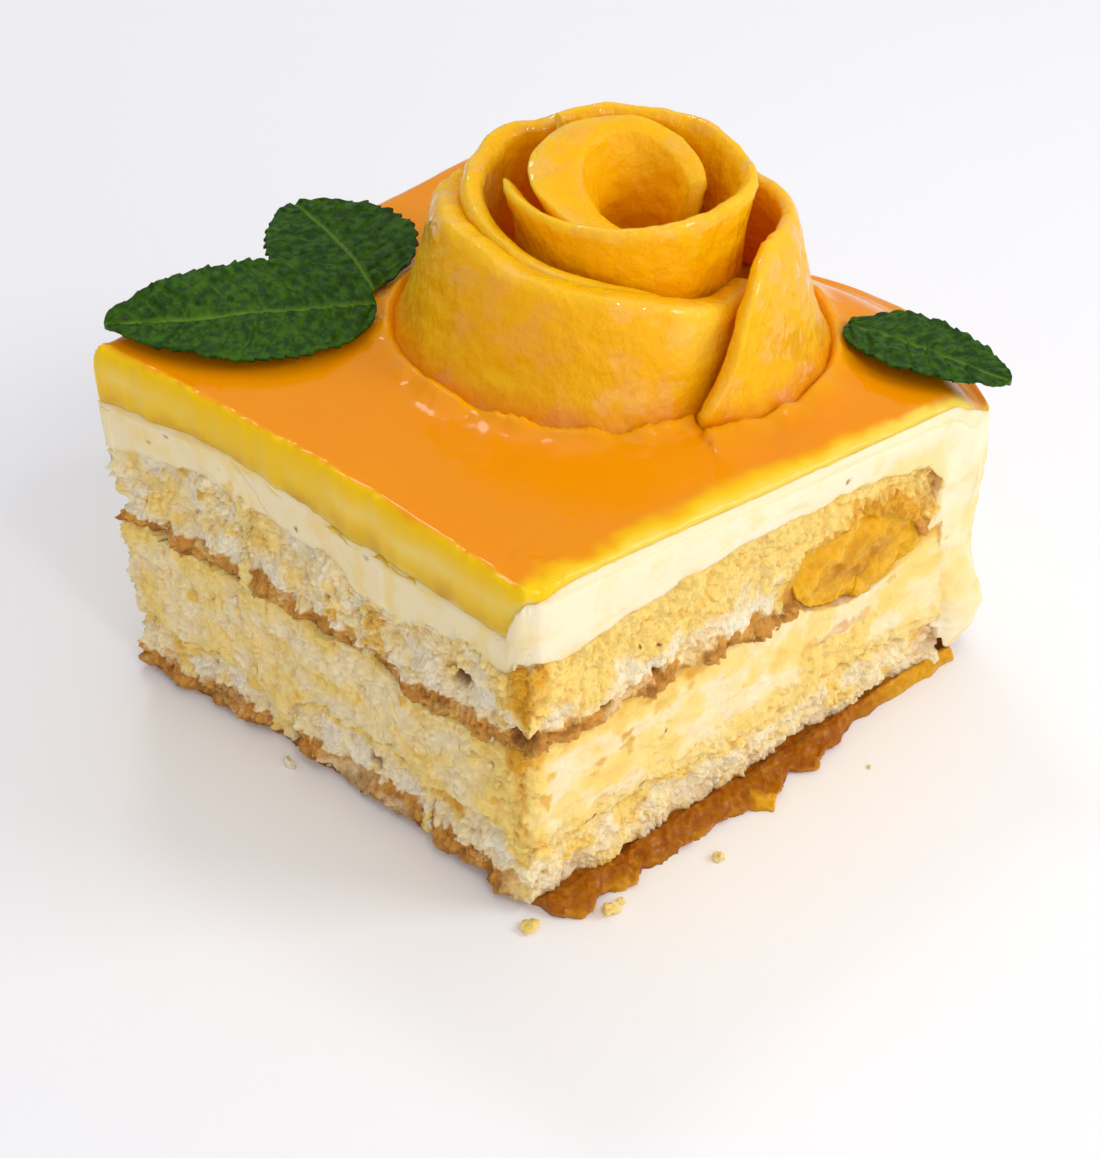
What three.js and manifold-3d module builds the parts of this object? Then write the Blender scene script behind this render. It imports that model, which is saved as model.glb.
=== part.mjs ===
// Mango tiramisu: a square slice of soaked sponge fingers and mascarpone cream under a mango
// glaze, with a rose of mango slices and three mint leaves on top.
//
// Millimetres, +Z up. The slice stands on z = 0. The front cut face runs along +X, the side cut
// face runs back from the same corner, and the outer side, at the far end of the front face, is
// the rounded edge that lay against the tray. Shapes are built in the frame of the front corner
// and moved at the end, so that the origin is under the middle of the slice.

import * as THREE from 'three';
import { mergeVertices } from 'three/addons/utils/BufferGeometryUtils.js';
import Module from 'manifold-3d';

const { lerp, smoothstep, degToRad } = THREE.MathUtils;

const wasm = await Module();
wasm.setup();

// Footprint
const FRONT_LENGTH = 76;
const SIDE_LENGTH = 72;
const CORNERS = {
  front: new THREE.Vector2(0, 0),
  outer: new THREE.Vector2(FRONT_LENGTH, 0),
  side: new THREE.Vector2(-14.4, 70.5),
  back: new THREE.Vector2(69, 89),
};
const ORIGIN = new THREE.Vector3(34, 42, 0);
const OUTER_BULGE = { size: 12.4, at: 0.28, width: 0.23 };
const SIDE_HOLLOW = 1.8;

// Levels above the underside
const TOP_AT_CORNER = 54.6;
const TOP_SLOPE_X = -0.0975;
const TOP_SLOPE_Y = 0.0113;
const PUREE_LEVEL = 1.2;
const LOWER_FINGERS_LEVEL = 1.5;
const CREAM_LEVEL = 28;
const UPPER_FINGERS_LEVEL = 28.3;
const GAP = 0.3;

// Mango glaze: a thin sheet, thinner at the front edge, with a thick lip down the side cut face
const GLAZE_SHEET = 2.7;
const GLAZE_LIP = 5.4;
const GLAZE_LIP_DEPTH = 5;
const GLAZE_SKIRT = 1.4;
const SHOULDER_DROP = 3.6;
const SHOULDER_WIDTH = 8;

// Cut faces
const CRUMB_DEPTH = 0.75;
const CREAM_DEPTH = 0.35;
const END_WALL = 7;

// Rose and leaves
const ROSE_AXIS = new THREE.Vector2(47.5, 38);
const LEAF_THICKNESS = 0.5;

const FINISHES = {
  sponge: { color: 0xe9d9a6, roughness: 0.9 },
  cream: { color: 0xf4ecc6, roughness: 0.55 },
  puree: { color: 0xc9780c, roughness: 0.25 },
  glaze: { color: 0xf09310, roughness: 0.12 },
  mango: { color: 0xf5b014, roughness: 0.3 },
  mint: { color: 0x2f5212, roughness: 0.5 },
};

// Seeded randomness: the same number for the same place every time
function random(a, b, c) {
  const wave = Math.sin(a * 127.1 + b * 311.7 + c * 74.7) * 43758.5453;
  return wave - Math.floor(wave);
}

function smoothNoise(x, y, z) {
  const [i, j, k] = [Math.floor(x), Math.floor(y), Math.floor(z)];
  const [s, t, r] = [smoothstep(x - i, 0, 1), smoothstep(y - j, 0, 1), smoothstep(z - k, 0, 1)];
  const level = (dk) => lerp(
    lerp(random(i, j, k + dk), random(i + 1, j, k + dk), s),
    lerp(random(i, j + 1, k + dk), random(i + 1, j + 1, k + dk), s),
    t,
  );
  return 2 * lerp(level(0), level(1), r) - 1;
}

const hill = (value, centre, width) => Math.exp(-(((value - centre) / width) ** 2));

// Solids
function weld(geometry) {
  const bare = geometry.clone();
  bare.deleteAttribute('normal');
  bare.deleteAttribute('uv');
  return mergeVertices(bare, 1e-4);
}

function solidFrom(geometry) {
  const welded = weld(geometry);
  return new wasm.Manifold(new wasm.Mesh({
    numProp: 3,
    vertProperties: Float32Array.from(welded.attributes.position.array),
    triVerts: Uint32Array.from(welded.index.array),
  }));
}

function largestBody(solid) {
  return solid.decompose().reduce((a, b) => (a.volume() > b.volume() ? a : b));
}

function geometryFrom(solid) {
  const mesh = largestBody(solid).getMesh();
  const geometry = new THREE.BufferGeometry();
  geometry.setAttribute('position', new THREE.BufferAttribute(mesh.vertProperties, 3));
  geometry.setIndex(new THREE.BufferAttribute(mesh.triVerts, 1));
  return geometry;
}

function mapVertices(geometry, place) {
  const position = geometry.attributes.position;
  const point = new THREE.Vector3();
  for (let i = 0; i < position.count; i++) {
    point.fromBufferAttribute(position, i);
    const moved = place(point);
    position.setXYZ(i, moved.x, moved.y, moved.z);
  }
  return geometry;
}

// Footprint: u runs along the front face and v along the side face, both from 0 to 1
function footprint(u, v) {
  const front = CORNERS.front.clone().lerp(CORNERS.outer, u);
  const back = CORNERS.side.clone().lerp(CORNERS.back, u);
  const point = front.lerp(back, v);
  const along = THREE.MathUtils.clamp(v, 0, 1);
  const bulge = hill(along, OUTER_BULGE.at, OUTER_BULGE.width) * smoothstep(along, 0, 0.015);
  point.x += OUTER_BULGE.size * bulge * THREE.MathUtils.clamp(u, 0, 1) ** 4;
  point.x += SIDE_HOLLOW * Math.sin(Math.PI * along) * (1 - THREE.MathUtils.clamp(u, 0, 1)) ** 6;
  return point;
}

const slopingTop = (x, y) => TOP_AT_CORNER + TOP_SLOPE_X * x + TOP_SLOPE_Y * y;

// How far the glaze has sagged over the rounded outer shoulder and the cut edges
function sag(u, v) {
  const shoulder = smoothstep(u, 1 - SHOULDER_WIDTH / FRONT_LENGTH, 1) ** 2;
  const cut = Math.max(hill(u, 0, 0.012), hill(v, 0, 0.012), hill(v, 1, 0.012));
  return SHOULDER_DROP * shoulder + 0.7 * cut + 0.5 * hill(v, 0, 0.03);
}

const glazeTop = ({ x, y, u, v }) => slopingTop(x, y) - sag(u, v);

function creamTop(place) {
  const lip = (GLAZE_LIP - 2 * hill(place.v, 0.7, 0.15)) * smoothstep(place.v, 0.01, 0.05);
  const reach = hill(place.u * FRONT_LENGTH, 0, GLAZE_LIP_DEPTH);
  const sheet = GLAZE_SHEET * lerp(0.45, 1, smoothstep(place.v, 0, 0.08));
  return glazeTop(place) - sheet - lip * reach;
}

// Walls are moved in by their insets and pushed out by their relief
function wallPoint(a, b, z, inset, relief) {
  const { side = 0, outer = 0, front = 0, back = 0 } = inset;
  const u = lerp(side / FRONT_LENGTH, 1 - outer / FRONT_LENGTH, a);
  const v = lerp(front / SIDE_LENGTH, 1 - back / SIDE_LENGTH, b);
  const core = footprint(u, v);
  const place = { x: core.x, y: core.y, u, v };
  const height = z(place);
  const push = relief(core.x, core.y, height);
  const sideways = (value) => (value === 0 ? -push : value === 1 ? push : 0);
  const wall = footprint(u + sideways(a) / FRONT_LENGTH, v + sideways(b) / SIDE_LENGTH);
  return new THREE.Vector3(wall.x, wall.y, height);
}

const readStop = (stops, fraction) => stops[Math.round(fraction * (stops.length - 1))];
const level = (height) => () => height;
const flat = () => 0;

// A block over the footprint with a grid on its top and bottom
function block({ inset = {}, bottom, top, stopsU, stopsV, rows, relief = flat }) {
  const box = new THREE.BoxGeometry(1, 1, 1, stopsU.length - 1, stopsV.length - 1, rows);
  return mapVertices(box, (corner) => {
    const a = readStop(stopsU, corner.x + 0.5);
    const b = readStop(stopsV, corner.y + 0.5);
    return wallPoint(a, b, (place) => lerp(bottom(place), top(place), corner.z + 0.5), inset, relief);
  });
}

// A prism over the footprint, level above and below, with its wall in rings at given levels
function prism({ inset = {}, levels, perSide, relief = flat }) {
  const drum = new THREE.CylinderGeometry(1, 1, 1, 4 * perSide, levels.length - 1);
  drum.rotateX(Math.PI / 2);
  return mapVertices(drum, (p) => {
    const z = level(readStop(levels, p.z + 0.5));
    if (Math.hypot(p.x, p.y) < 0.5) return wallPoint(0.5, 0.5, z, inset, flat);
    const turn = Math.round((Math.atan2(p.y, p.x) / (2 * Math.PI) + 1) * 4 * perSide) % (4 * perSide);
    const side = Math.floor(turn / perSide);
    const t = (turn % perSide) / perSide;
    const [a, b] = [[t, 0], [1, t], [1 - t, 1], [0, 1 - t]][side];
    return wallPoint(a, b, z, inset, relief);
  });
}

// Crumb breaks in crags as large as the grid; cream is smeared in soft, wide waves
const crumbRelief = (x, y, z) => CRUMB_DEPTH * (
  smoothNoise(x / 5, y / 5, z / 5) + 0.8 * (2 * random(x, y, z) - 1));
const creamRelief = (x, y, z) => CREAM_DEPTH * smoothNoise(x / 6, y / 6, z / 4);

// The outer wall of cream swells where it has run down
function endWallRelief(x, y, z) {
  const outerSide = smoothstep(x, FRONT_LENGTH - 8, FRONT_LENGTH - 1);
  const swell = 2.2 * hill(z, 11, 7) * (0.35 + 0.65 * hill(y, 0, 9));
  const runs = smoothNoise(1, y / 7, z / 12) * (1 - 0.7 * smoothstep(z, 25, 38));
  return creamRelief(x, y, z) + outerSide * (swell + runs);
}

// Sponge fingers: flat below, domed above, round at both ends. A lower number is squarer.
const FINGER_SQUARENESS = 0.48;

function spongeFinger({ width, height, centre, turn, level: base, start = -40, end, tilt = 0 }, grow = 0) {
  const length = end - start;
  const rings = new THREE.CapsuleGeometry(1, 2 * (length / width) - 2, 4, 14, 1);
  const boxy = (value) => Math.sign(value) * Math.abs(value) ** FINGER_SQUARENESS;
  const half = { along: length / width, up: height * 0.62 };
  mapVertices(rings, (p) => {
    const along = (p.y / half.along) * (length / 2 + grow);
    const across = -boxy(p.x) * (width / 2 + grow);
    const up = Math.max(boxy(p.z) * (half.up + grow), -(height - half.up) - grow);
    return new THREE.Vector3(along, across, up);
  });
  rings.rotateY(degToRad(tilt));
  rings.translate((start + end) / 2, 0, height - half.up);
  rings.rotateZ(degToRad(turn));
  rings.translate(0, centre, base);
  return solidFrom(rings);
}

const LOWER_FINGERS = {
  ladyfinger_bottom_front: { width: 26.4, height: 10, centre: 5.3, turn: 0, end: 73 },
  ladyfinger_bottom_middle: { width: 25, height: 10.6, centre: 32, turn: 5, end: 72 },
  ladyfinger_bottom_back: { width: 27, height: 10.2, centre: 62.4, turn: 11, end: 68.5 },
};

const UPPER_FINGERS = {
  ladyfinger_top_front: { width: 34.4, height: 13.4, centre: 11, turn: 0, end: 71 },
  ladyfinger_top_middle: { width: 20.2, height: 15.4, centre: 38.6, turn: 3, end: 70 },
  ladyfinger_top_back: { width: 27, height: 15.8, centre: 63.4, turn: 7, end: 70 },
};

for (const finger of Object.values(LOWER_FINGERS)) finger.level = LOWER_FINGERS_LEVEL;
for (const finger of Object.values(UPPER_FINGERS)) finger.level = UPPER_FINGERS_LEVEL;

// The knife's walls, rough where they pass through crumb
const crumbCut = solidFrom(prism({
  inset: { side: 1, outer: -14, front: 0.8, back: 1 },
  levels: [-1, 1.2, 3.8, 6.4, 9, 11.6, 14, 27, 29.6, 32.2, 34.8, 37.4, 40, 42.6, 45.2, 60],
  perSide: 26,
  relief: crumbRelief,
}));

// Puree pocket at the end of the upper front finger
const POCKET = { centre: [55.5, 0, 29.6], half: [11.5, 15, 6.6], lean: 11 };

function pureePocket(grow = 0) {
  const egg = new THREE.SphereGeometry(1, 16, 10);
  egg.scale(...POCKET.half.map((size) => size + grow));
  egg.rotateY(degToRad(POCKET.lean));
  egg.translate(...POCKET.centre);
  return solidFrom(egg);
}

function fingerSolid(size) {
  return spongeFinger(size).intersect(crumbCut).subtract(pureePocket(GAP));
}

function withoutFingers(solid, fingers) {
  return Object.values(fingers).reduce((rest, size) => rest.subtract(spongeFinger(size, GAP)), solid);
}

// Cream between the two layers of fingers, inside the outer wall of the top cream
const creamCore = (grow = 0) => solidFrom(prism({
  inset: {
    side: 0.2 - 20 * grow,
    outer: END_WALL - 1.5 * grow,
    front: 0.4 - 20 * grow,
    back: 0.4 - 20 * grow,
  },
  levels: [PUREE_LEVEL + GAP - 10 * grow, 6, 12, 17, 22, CREAM_LEVEL + 0.9 * grow],
  perSide: 11,
  relief: creamRelief,
}));

function middleCream() {
  return withoutFingers(creamCore(), LOWER_FINGERS).subtract(pureePocket(GAP));
}

// Columns and rows of the top surfaces, close together where the glaze bends over an edge
const TOP_COLUMNS = [0, 0.015, 0.04, 0.08, 0.14, 0.3, 0.5, 0.7, 0.86, 0.92, 0.96, 0.985, 1];
const TOP_ROWS = [0, 0.015, 0.05, 0.12, 0.22, 0.34, 0.46, 0.58, 0.7, 0.82, 0.93, 0.985, 1];

// Top cream: the smooth upper layer, which also covers the finger ends down the outer side
function topCream() {
  const footOfWall = ({ u, v }) => 2 + 5.5 * hill(v, 0, 0.06) * smoothstep(1 - u, 0, 0.05);
  const whole = solidFrom(block({
    bottom: footOfWall,
    top: (place) => creamTop(place) - GAP,
    stopsU: TOP_COLUMNS,
    stopsV: TOP_ROWS,
    rows: 8,
    relief: endWallRelief,
  }));
  const layer = withoutFingers(whole.subtract(creamCore(GAP)), UPPER_FINGERS);
  return withoutFingers(layer, LOWER_FINGERS).subtract(pureePocket(GAP));
}

// Glaze: the sheet on the cream, with a skirt that has run over the outer shoulder
const SKIRT_ROWS = 3;
const LARGE_RUN = { at: 0.34, width: 0.05, swell: 2.6 };

function mangoGlaze() {
  const columns = TOP_COLUMNS.length - 1 + SKIRT_ROWS;
  const runs = (v) => 4 + 2 * smoothNoise(v * 9, 3, 0) + 7 * hill(v, 0.3, 0.04) + 5 * hill(v, 0.72, 0.04);
  const edge = (x, y, z) => 0.3 * smoothNoise(x / 8, y / 8, z / 3);
  return closedSheet(columns, TOP_ROWS.length - 1, (s, t, face) => {
    const column = Math.round(s * columns);
    const down = Math.max(0, column - TOP_COLUMNS.length + 1) / SKIRT_ROWS;
    const a = TOP_COLUMNS[Math.min(column, TOP_COLUMNS.length - 1)];
    const b = readStop(TOP_ROWS, t);
    const surface = face > 0 ? glazeTop : creamTop;
    if (down === 0 && a < 1) return wallPoint(a, b, surface, {}, edge);
    const reach = runs(b) * smoothstep(b, 0, 0.12) * (1 - 0.5 * smoothstep(b, 0.9, 1));
    const swell = LARGE_RUN.swell * hill(b, LARGE_RUN.at, LARGE_RUN.width) * Math.sin(2.5 * down);
    const outside = face > 0 ? GLAZE_SKIRT * (1 - 0.4 * down) + swell : GAP + 0.2;
    const z = (place) => surface(place) - down * (reach + (face > 0 ? 1.5 : 0));
    return wallPoint(a, b, z, { outer: -outside }, (x, y, height) => endWallRelief(x, y, height));
  });
}

// Puree under the slice, squeezed out in a ragged foot along the front face
const FOOT_ROWS = 4;
const FOOT_RUNS = [[5, 1.6, 2], [37, 3, 1.8], [46.4, 2.2, 1.2], [13, 0.8, 2]];

function footReach(x) {
  const runs = FOOT_RUNS.reduce((sum, [at, reach, width]) => sum + reach * hill(x, at, width), 0);
  const body = lerp(3.9, 1.7, smoothstep(x, 52, 58)) * smoothstep(x, -3, 2);
  return body + runs + 0.7 * smoothNoise(x / 2.2, 4, 0);
}

function pureeBase() {
  const rows = 13;
  return solidFrom(mapVertices(new THREE.BoxGeometry(1, 1, 1, 30, rows, 1), (corner) => {
    const [a, b, w] = [corner.x + 0.5, Math.round((corner.y + 0.5) * rows), corner.z + 0.5];
    const u = lerp(0.8 / FRONT_LENGTH, 1 + 0.8 / FRONT_LENGTH, a);
    const v = Math.max(0, b - FOOT_ROWS) / (rows - FOOT_ROWS);
    const wall = footprint(u, v * (1 - 0.6 / SIDE_LENGTH));
    const outwards = Math.max(0, FOOT_ROWS - b) / FOOT_ROWS;
    const lifted = 1.1 * Math.sin(Math.PI * Math.min(1, outwards * 1.15)) - 0.45 * outwards;
    const ragged = a === 0 || a === 1 || b === rows ? 0.5 * smoothNoise(wall.x / 3, wall.y / 3, 8) : 0;
    const y = wall.y + ragged - outwards * footReach(wall.x);
    return new THREE.Vector3(wall.x + ragged, y, w * (PUREE_LEVEL + lifted));
  }));
}

// A thin sheet with a thickness: two copies of one grid, joined round the rim
function closedSheet(columns, rows, place) {
  const grid = weld(new THREE.PlaneGeometry(1, 1, columns, rows));
  const flat = grid.attributes.position;
  const count = flat.count;
  const points = [];
  for (const face of [1, -1]) {
    for (let i = 0; i < count; i++) {
      const point = place(flat.getX(i) + 0.5, flat.getY(i) + 0.5, face);
      points.push(point.x, point.y, point.z);
    }
  }
  const upper = Array.from(grid.index.array);
  const lower = upper.map((vertex) => vertex + count);
  for (let i = 0; i < lower.length; i += 3) [lower[i], lower[i + 1]] = [lower[i + 1], lower[i]];
  const owners = new Map();
  for (let i = 0; i < upper.length; i += 3) {
    for (let j = 0; j < 3; j++) {
      const [from, to] = [upper[i + j], upper[i + ((j + 1) % 3)]];
      owners.set(`${from},${to}`, [from, to]);
    }
  }
  const rim = [];
  for (const [from, to] of owners.values()) {
    if (owners.has(`${to},${from}`)) continue;
    rim.push(from, from + count, to, to, from + count, to + count);
  }
  const geometry = new THREE.BufferGeometry();
  geometry.setAttribute('position', new THREE.Float32BufferAttribute(points, 3));
  geometry.setIndex([...upper, ...lower, ...rim]);
  return geometry;
}

// Rose petals: slices of mango standing on the glaze round the rose's axis. Each station gives
// the angle, the radius at the foot, the radius at the rim and the height. The flare says how
// near the rim a slice bends, and the skirt how far its foot spreads.
const PETALS = {
  rose_petal_inner: {
    thickness: 2.2,
    flare: 2.6,
    skirt: 0,
    stations: [
      [-22, 6.9, 10, 21.6], [20, 6.9, 11.6, 24], [70, 6.9, 11.8, 25], [108, 7, 12.2, 24.5],
      [140, 7, 13, 22.8], [175, 7, 11.6, 20.6], [212, 7, 9, 19], [262, 6.9, 8.2, 18],
      [305, 6.6, 7.6, 17.5],
    ],
  },
  rose_petal_wrapped: {
    thickness: 2.8,
    flare: 4.5,
    skirt: 0,
    stations: [
      [138, 13.6, 16.2, 20.5], [175, 12.5, 14.6, 21.2], [210, 12, 12.7, 21.8], [238, 11.6, 11.8, 22.2],
      [280, 12, 12.6, 23], [302, 12.6, 14.2, 24], [322, 13, 15.2, 24.4], [346, 13.4, 15.2, 24.8],
      [372, 13.6, 14.9, 25.1], [404, 13.6, 14.7, 25.3], [424, 13.6, 14.9, 25.3], [449, 13.8, 15.4, 24.3],
    ],
  },
  rose_petal_left: {
    thickness: 2.8,
    flare: 1,
    skirt: 0,
    stations: [
      [80, 19, 18.8, 22.2], [100, 20.6, 21.2, 21.4], [118, 20.9, 21.4, 20.5], [140, 20.6, 20.6, 19.3],
      [160, 19.8, 19.3, 18], [178, 18.8, 18.2, 16.8], [197, 18, 17.3, 16.1], [215, 16.9, 16.5, 15.7],
      [236, 15.8, 15.8, 15.2], [256, 15.5, 15.4, 14.4], [270, 15.4, 15.2, 13.6],
    ],
  },
  rose_petal_front: {
    thickness: 2.4,
    flare: 0.85,
    skirt: 1.2,
    stations: [
      [118, 26.2, 24.2, 16.2], [133, 28.4, 24.7, 17], [150, 30, 24, 17.6], [168, 30, 22.8, 17.6],
      [185, 29.2, 21.8, 17], [203, 27.6, 20.6, 16.4], [227, 25.2, 19.3, 16.2], [246, 22.1, 19, 15],
      [264, 20.4, 18, 13.4], [282, 19.6, 17, 12.4], [298, 19.4, 16.4, 12.2],
    ],
  },
  rose_petal_right: {
    thickness: 2.4,
    flare: 0.8,
    skirt: 0.9,
    stations: [
      [250, 24.9, 25.6, 2.4], [258, 25.1, 24.4, 7], [266, 25.2, 22.6, 12.6], [275, 25.4, 20.8, 16.4],
      [286, 25.5, 19.6, 18.6], [300, 25.8, 19.2, 19.2], [318, 25.9, 19.9, 18.9], [338, 25.4, 20.6, 18.4],
      [356, 25, 20.7, 18.2], [382, 24.6, 20.4, 18.2], [406, 24, 19.8, 17.8],
    ],
  },
};

const PETAL_ROWS = 5;
const DEGREES_PER_COLUMN = 10;

// The stations joined by a smooth curve, read at an angle
function stationReader(stations) {
  const first = stations[0][0];
  const last = stations[stations.length - 1][0];
  const tracks = [1, 2, 3].map((column) => new THREE.SplineCurve(
    stations.map((station) => new THREE.Vector2(station[0], station[column]))));
  const read = (track, angle) => {
    let [low, high] = [0, 1];
    for (let step = 0; step < 24; step++) {
      const middle = (low + high) / 2;
      if (track.getPoint(middle).x < angle) low = middle;
      else high = middle;
    }
    return track.getPoint(low).y;
  };
  return { first, last, at: (angle) => tracks.map((track) => read(track, angle)) };
}

function petal({ stations, thickness, flare, skirt }) {
  const curve = stationReader(stations);
  const columns = Math.round((curve.last - curve.first) / DEGREES_PER_COLUMN);
  const byColumn = [];
  for (let i = 0; i <= columns; i++) byColumn.push(curve.at(lerp(curve.first, curve.last, i / columns)));
  return closedSheet(columns, PETAL_ROWS, (s, t, face) => {
    const column = Math.round(s * columns);
    const angle = degToRad(lerp(curve.first, curve.last, s));
    const [foot, rim, height] = byColumn[column];
    const up = t ** 0.8;
    const wave = 0.35 * smoothNoise(column / 2.5, height, 5) * up;
    const thin = thickness * (1 - 0.45 * up ** 8) * (column === 0 || column === columns ? 0.7 : 1);
    const radius = lerp(foot, rim, up ** flare) + skirt * (1 - up) ** 5 + (face * thin) / 2 + wave;
    const x = ROSE_AXIS.x + radius * Math.cos(angle);
    const y = ROSE_AXIS.y + radius * Math.sin(angle);
    return new THREE.Vector3(x, y, slopingTop(x, y) + GAP + up * (height + wave));
  });
}

// Mint leaves: thin, wavy and toothed, lying on the glaze from a base point to a tip
const LEAVES = {
  mint_leaf_left: {
    base: [19.8, 56.6], tip: [-12, 71.6], width: 18.6, bow: 2.2, lift: [1.2, 3.6, 1], roll: -0.2, teeth: 11,
  },
  mint_leaf_back: {
    base: [22, 60.4], tip: [24.4, 82.4], width: 21.6, bow: -0.6, lift: [0.8, 2.8, 2], roll: -0.06, teeth: 8,
  },
  mint_leaf_right: {
    base: [70.7, 20.3], tip: [79.4, -1.6], width: 15.4, bow: 0.6, lift: [0.9, 1.9, 1.4], roll: -0.04, teeth: 8,
  },
};

const LEAF_COLUMNS = 22;
const LEAF_ROWS = 6;

function mintLeaf({ base, tip, width, bow, lift, roll, teeth }) {
  const from = new THREE.Vector2(...base);
  const to = new THREE.Vector2(...tip);
  const along = to.clone().sub(from);
  const across = new THREE.Vector2(-along.y, along.x).normalize();
  return closedSheet(LEAF_COLUMNS, LEAF_ROWS, (s, t, face) => {
    const side = 2 * t - 1;
    const tooth = 1 - 0.09 * ((s * teeth) % 1) * Math.abs(side) ** 6;
    const half = (width / 2) * Math.max(0.04, Math.sin(Math.PI * s ** 0.8) ** 0.62) * tooth;
    const middle = from.clone().addScaledVector(along, s).addScaledVector(across, bow * Math.sin(Math.PI * s));
    const place = middle.addScaledVector(across, side * half);
    const rise = lift[0] * (1 - s) ** 2 + lift[1] * 2 * s * (1 - s) + lift[2] * s * s;
    const trough = 0.9 * (half / width) * Math.abs(side);
    const veins = 0.22 * Math.sin(2 * Math.PI * (s * teeth * 0.5 - Math.abs(side) * 0.7)) * (1 - s);
    const z = slopingTop(place.x, place.y) + GAP + LEAF_THICKNESS / 2
      + rise + trough + veins + roll * side * half + 0.25;
    return new THREE.Vector3(place.x, place.y, z + (face * LEAF_THICKNESS) / 2);
  });
}

// Scene graph
const mangoTiramisu = new THREE.Group();
const slice = new THREE.Group();
slice.position.copy(ORIGIN).negate();
mangoTiramisu.add(slice);

function addPiece(name, finish, geometry) {
  const mesh = new THREE.Mesh(geometry, new THREE.MeshStandardMaterial({ ...FINISHES[finish], metalness: 0 }));
  mesh.name = name;
  slice.add(mesh);
}

addPiece('mango_puree_base', 'puree', geometryFrom(pureeBase()));
for (const [name, size] of Object.entries(LOWER_FINGERS)) {
  addPiece(name, 'sponge', geometryFrom(fingerSolid(size)));
}
addPiece('cream_middle', 'cream', geometryFrom(middleCream()));
addPiece('mango_puree_pocket', 'puree', geometryFrom(pureePocket().intersect(crumbCut)));
for (const [name, size] of Object.entries(UPPER_FINGERS)) {
  addPiece(name, 'sponge', geometryFrom(fingerSolid(size)));
}
addPiece('cream_top', 'cream', geometryFrom(topCream()));
addPiece('mango_glaze', 'glaze', mangoGlaze());
for (const [name, shape] of Object.entries(PETALS)) addPiece(name, 'mango', petal(shape));
for (const [name, shape] of Object.entries(LEAVES)) addPiece(name, 'mint', mintLeaf(shape));

export default mangoTiramisu;
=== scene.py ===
"""A square slice of mango tiramisu with a rose of mango slices and three mint leaves.

Shapes are worked out in millimetres in the frame of the slice's front corner, where the front
cut face runs along +X and the side cut face runs back from the same corner. They become metres
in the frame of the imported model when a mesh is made.
"""

import itertools
import logging
import math
from collections.abc import Callable, Sequence
from dataclasses import dataclass, field
from enum import Enum

import bmesh
import bpy
import numpy as np
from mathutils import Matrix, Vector


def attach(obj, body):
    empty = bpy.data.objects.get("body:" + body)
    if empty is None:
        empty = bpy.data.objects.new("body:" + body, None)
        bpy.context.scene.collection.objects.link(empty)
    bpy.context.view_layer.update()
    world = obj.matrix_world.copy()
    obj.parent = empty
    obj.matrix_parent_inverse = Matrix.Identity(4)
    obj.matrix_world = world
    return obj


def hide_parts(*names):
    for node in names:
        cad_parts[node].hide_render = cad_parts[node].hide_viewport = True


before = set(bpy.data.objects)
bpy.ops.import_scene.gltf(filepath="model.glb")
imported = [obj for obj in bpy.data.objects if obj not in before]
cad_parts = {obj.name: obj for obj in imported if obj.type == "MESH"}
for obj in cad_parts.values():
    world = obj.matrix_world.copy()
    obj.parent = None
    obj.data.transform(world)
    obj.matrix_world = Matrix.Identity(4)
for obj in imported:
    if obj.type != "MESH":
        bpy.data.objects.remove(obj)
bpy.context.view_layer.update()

Array = np.ndarray
Triple = tuple[float, float, float]
Colour = Triple
log = logging.getLogger("mango_tiramisu")

BODY = "root"
ORIGIN = np.array([34.0, 42.0, 0.0])
METRE = 0.001
# Steps of a thousandth of a millimetre that fit along each axis when split points are joined
STEPS = 2**20
# These keep the cells of the noise off the planes of the slice
RIPPLE_SHIFT = 17.3
BUBBLE_SHIFT = 31.7


# Seeded noise
def scattered(cell: Array, seed: int) -> Array:
    """Gives three numbers from 0 to 1 for each whole-numbered cell, the same every time.

    Args:
        cell: Cells, one a row.
        seed: Which set of numbers to give.

    Returns:
        Three numbers for each cell.
    """
    steps = np.array([73856093, 19349663, 83492791], dtype=np.int64)
    word = ((cell.astype(np.int64) * steps).sum(1) + seed * 2654435761).astype(np.uint64)
    word = (word ^ (word >> np.uint64(31))) * np.uint64(0x9E3779B97F4A7C15)
    word = (word ^ (word >> np.uint64(29))) * np.uint64(0xBF58476D1CE4E5B9)
    word ^= word >> np.uint64(32)
    parts = [(word >> np.uint64(shift)) & np.uint64(0xFFFF) for shift in (0, 16, 40)]
    return np.stack(parts, axis=1) / 65535.0


def ripple(points: Array, size: float, seed: int = 0) -> Array:
    """Gives smooth noise from -1 to 1 whose bumps are about size across.

    Args:
        points: Places, in rows or in a grid.
        size: Distance from bump to bump.
        seed: Which noise to give.

    Returns:
        One number for each place.
    """
    scaled = points.reshape(-1, 3) / size + RIPPLE_SHIFT
    base = np.floor(scaled)
    part = scaled - base
    eased = part * part * (3 - 2 * part)
    total = np.zeros(len(scaled))
    for corner in itertools.product((0, 1), repeat=3):
        weight = np.where(corner, eased, 1 - eased).prod(axis=1)
        total += weight * scattered(base + corner, seed)[:, 0]
    return (2 * total - 1).reshape(points.shape[:-1])


def fractal(points: Array, size: float, octaves: int, seed: int = 0) -> Array:
    """Gives noise with finer and finer bumps on it.

    Args:
        points: Places, in rows or in a grid.
        size: Distance between the largest bumps.
        octaves: How many sizes of bump there are.
        seed: Which noise to give.

    Returns:
        One number for each place, about -1 to 1.
    """
    return sum(0.5**k * ripple(points, size / 2**k, seed + 11 * k) for k in range(octaves)) / 1.3


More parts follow.
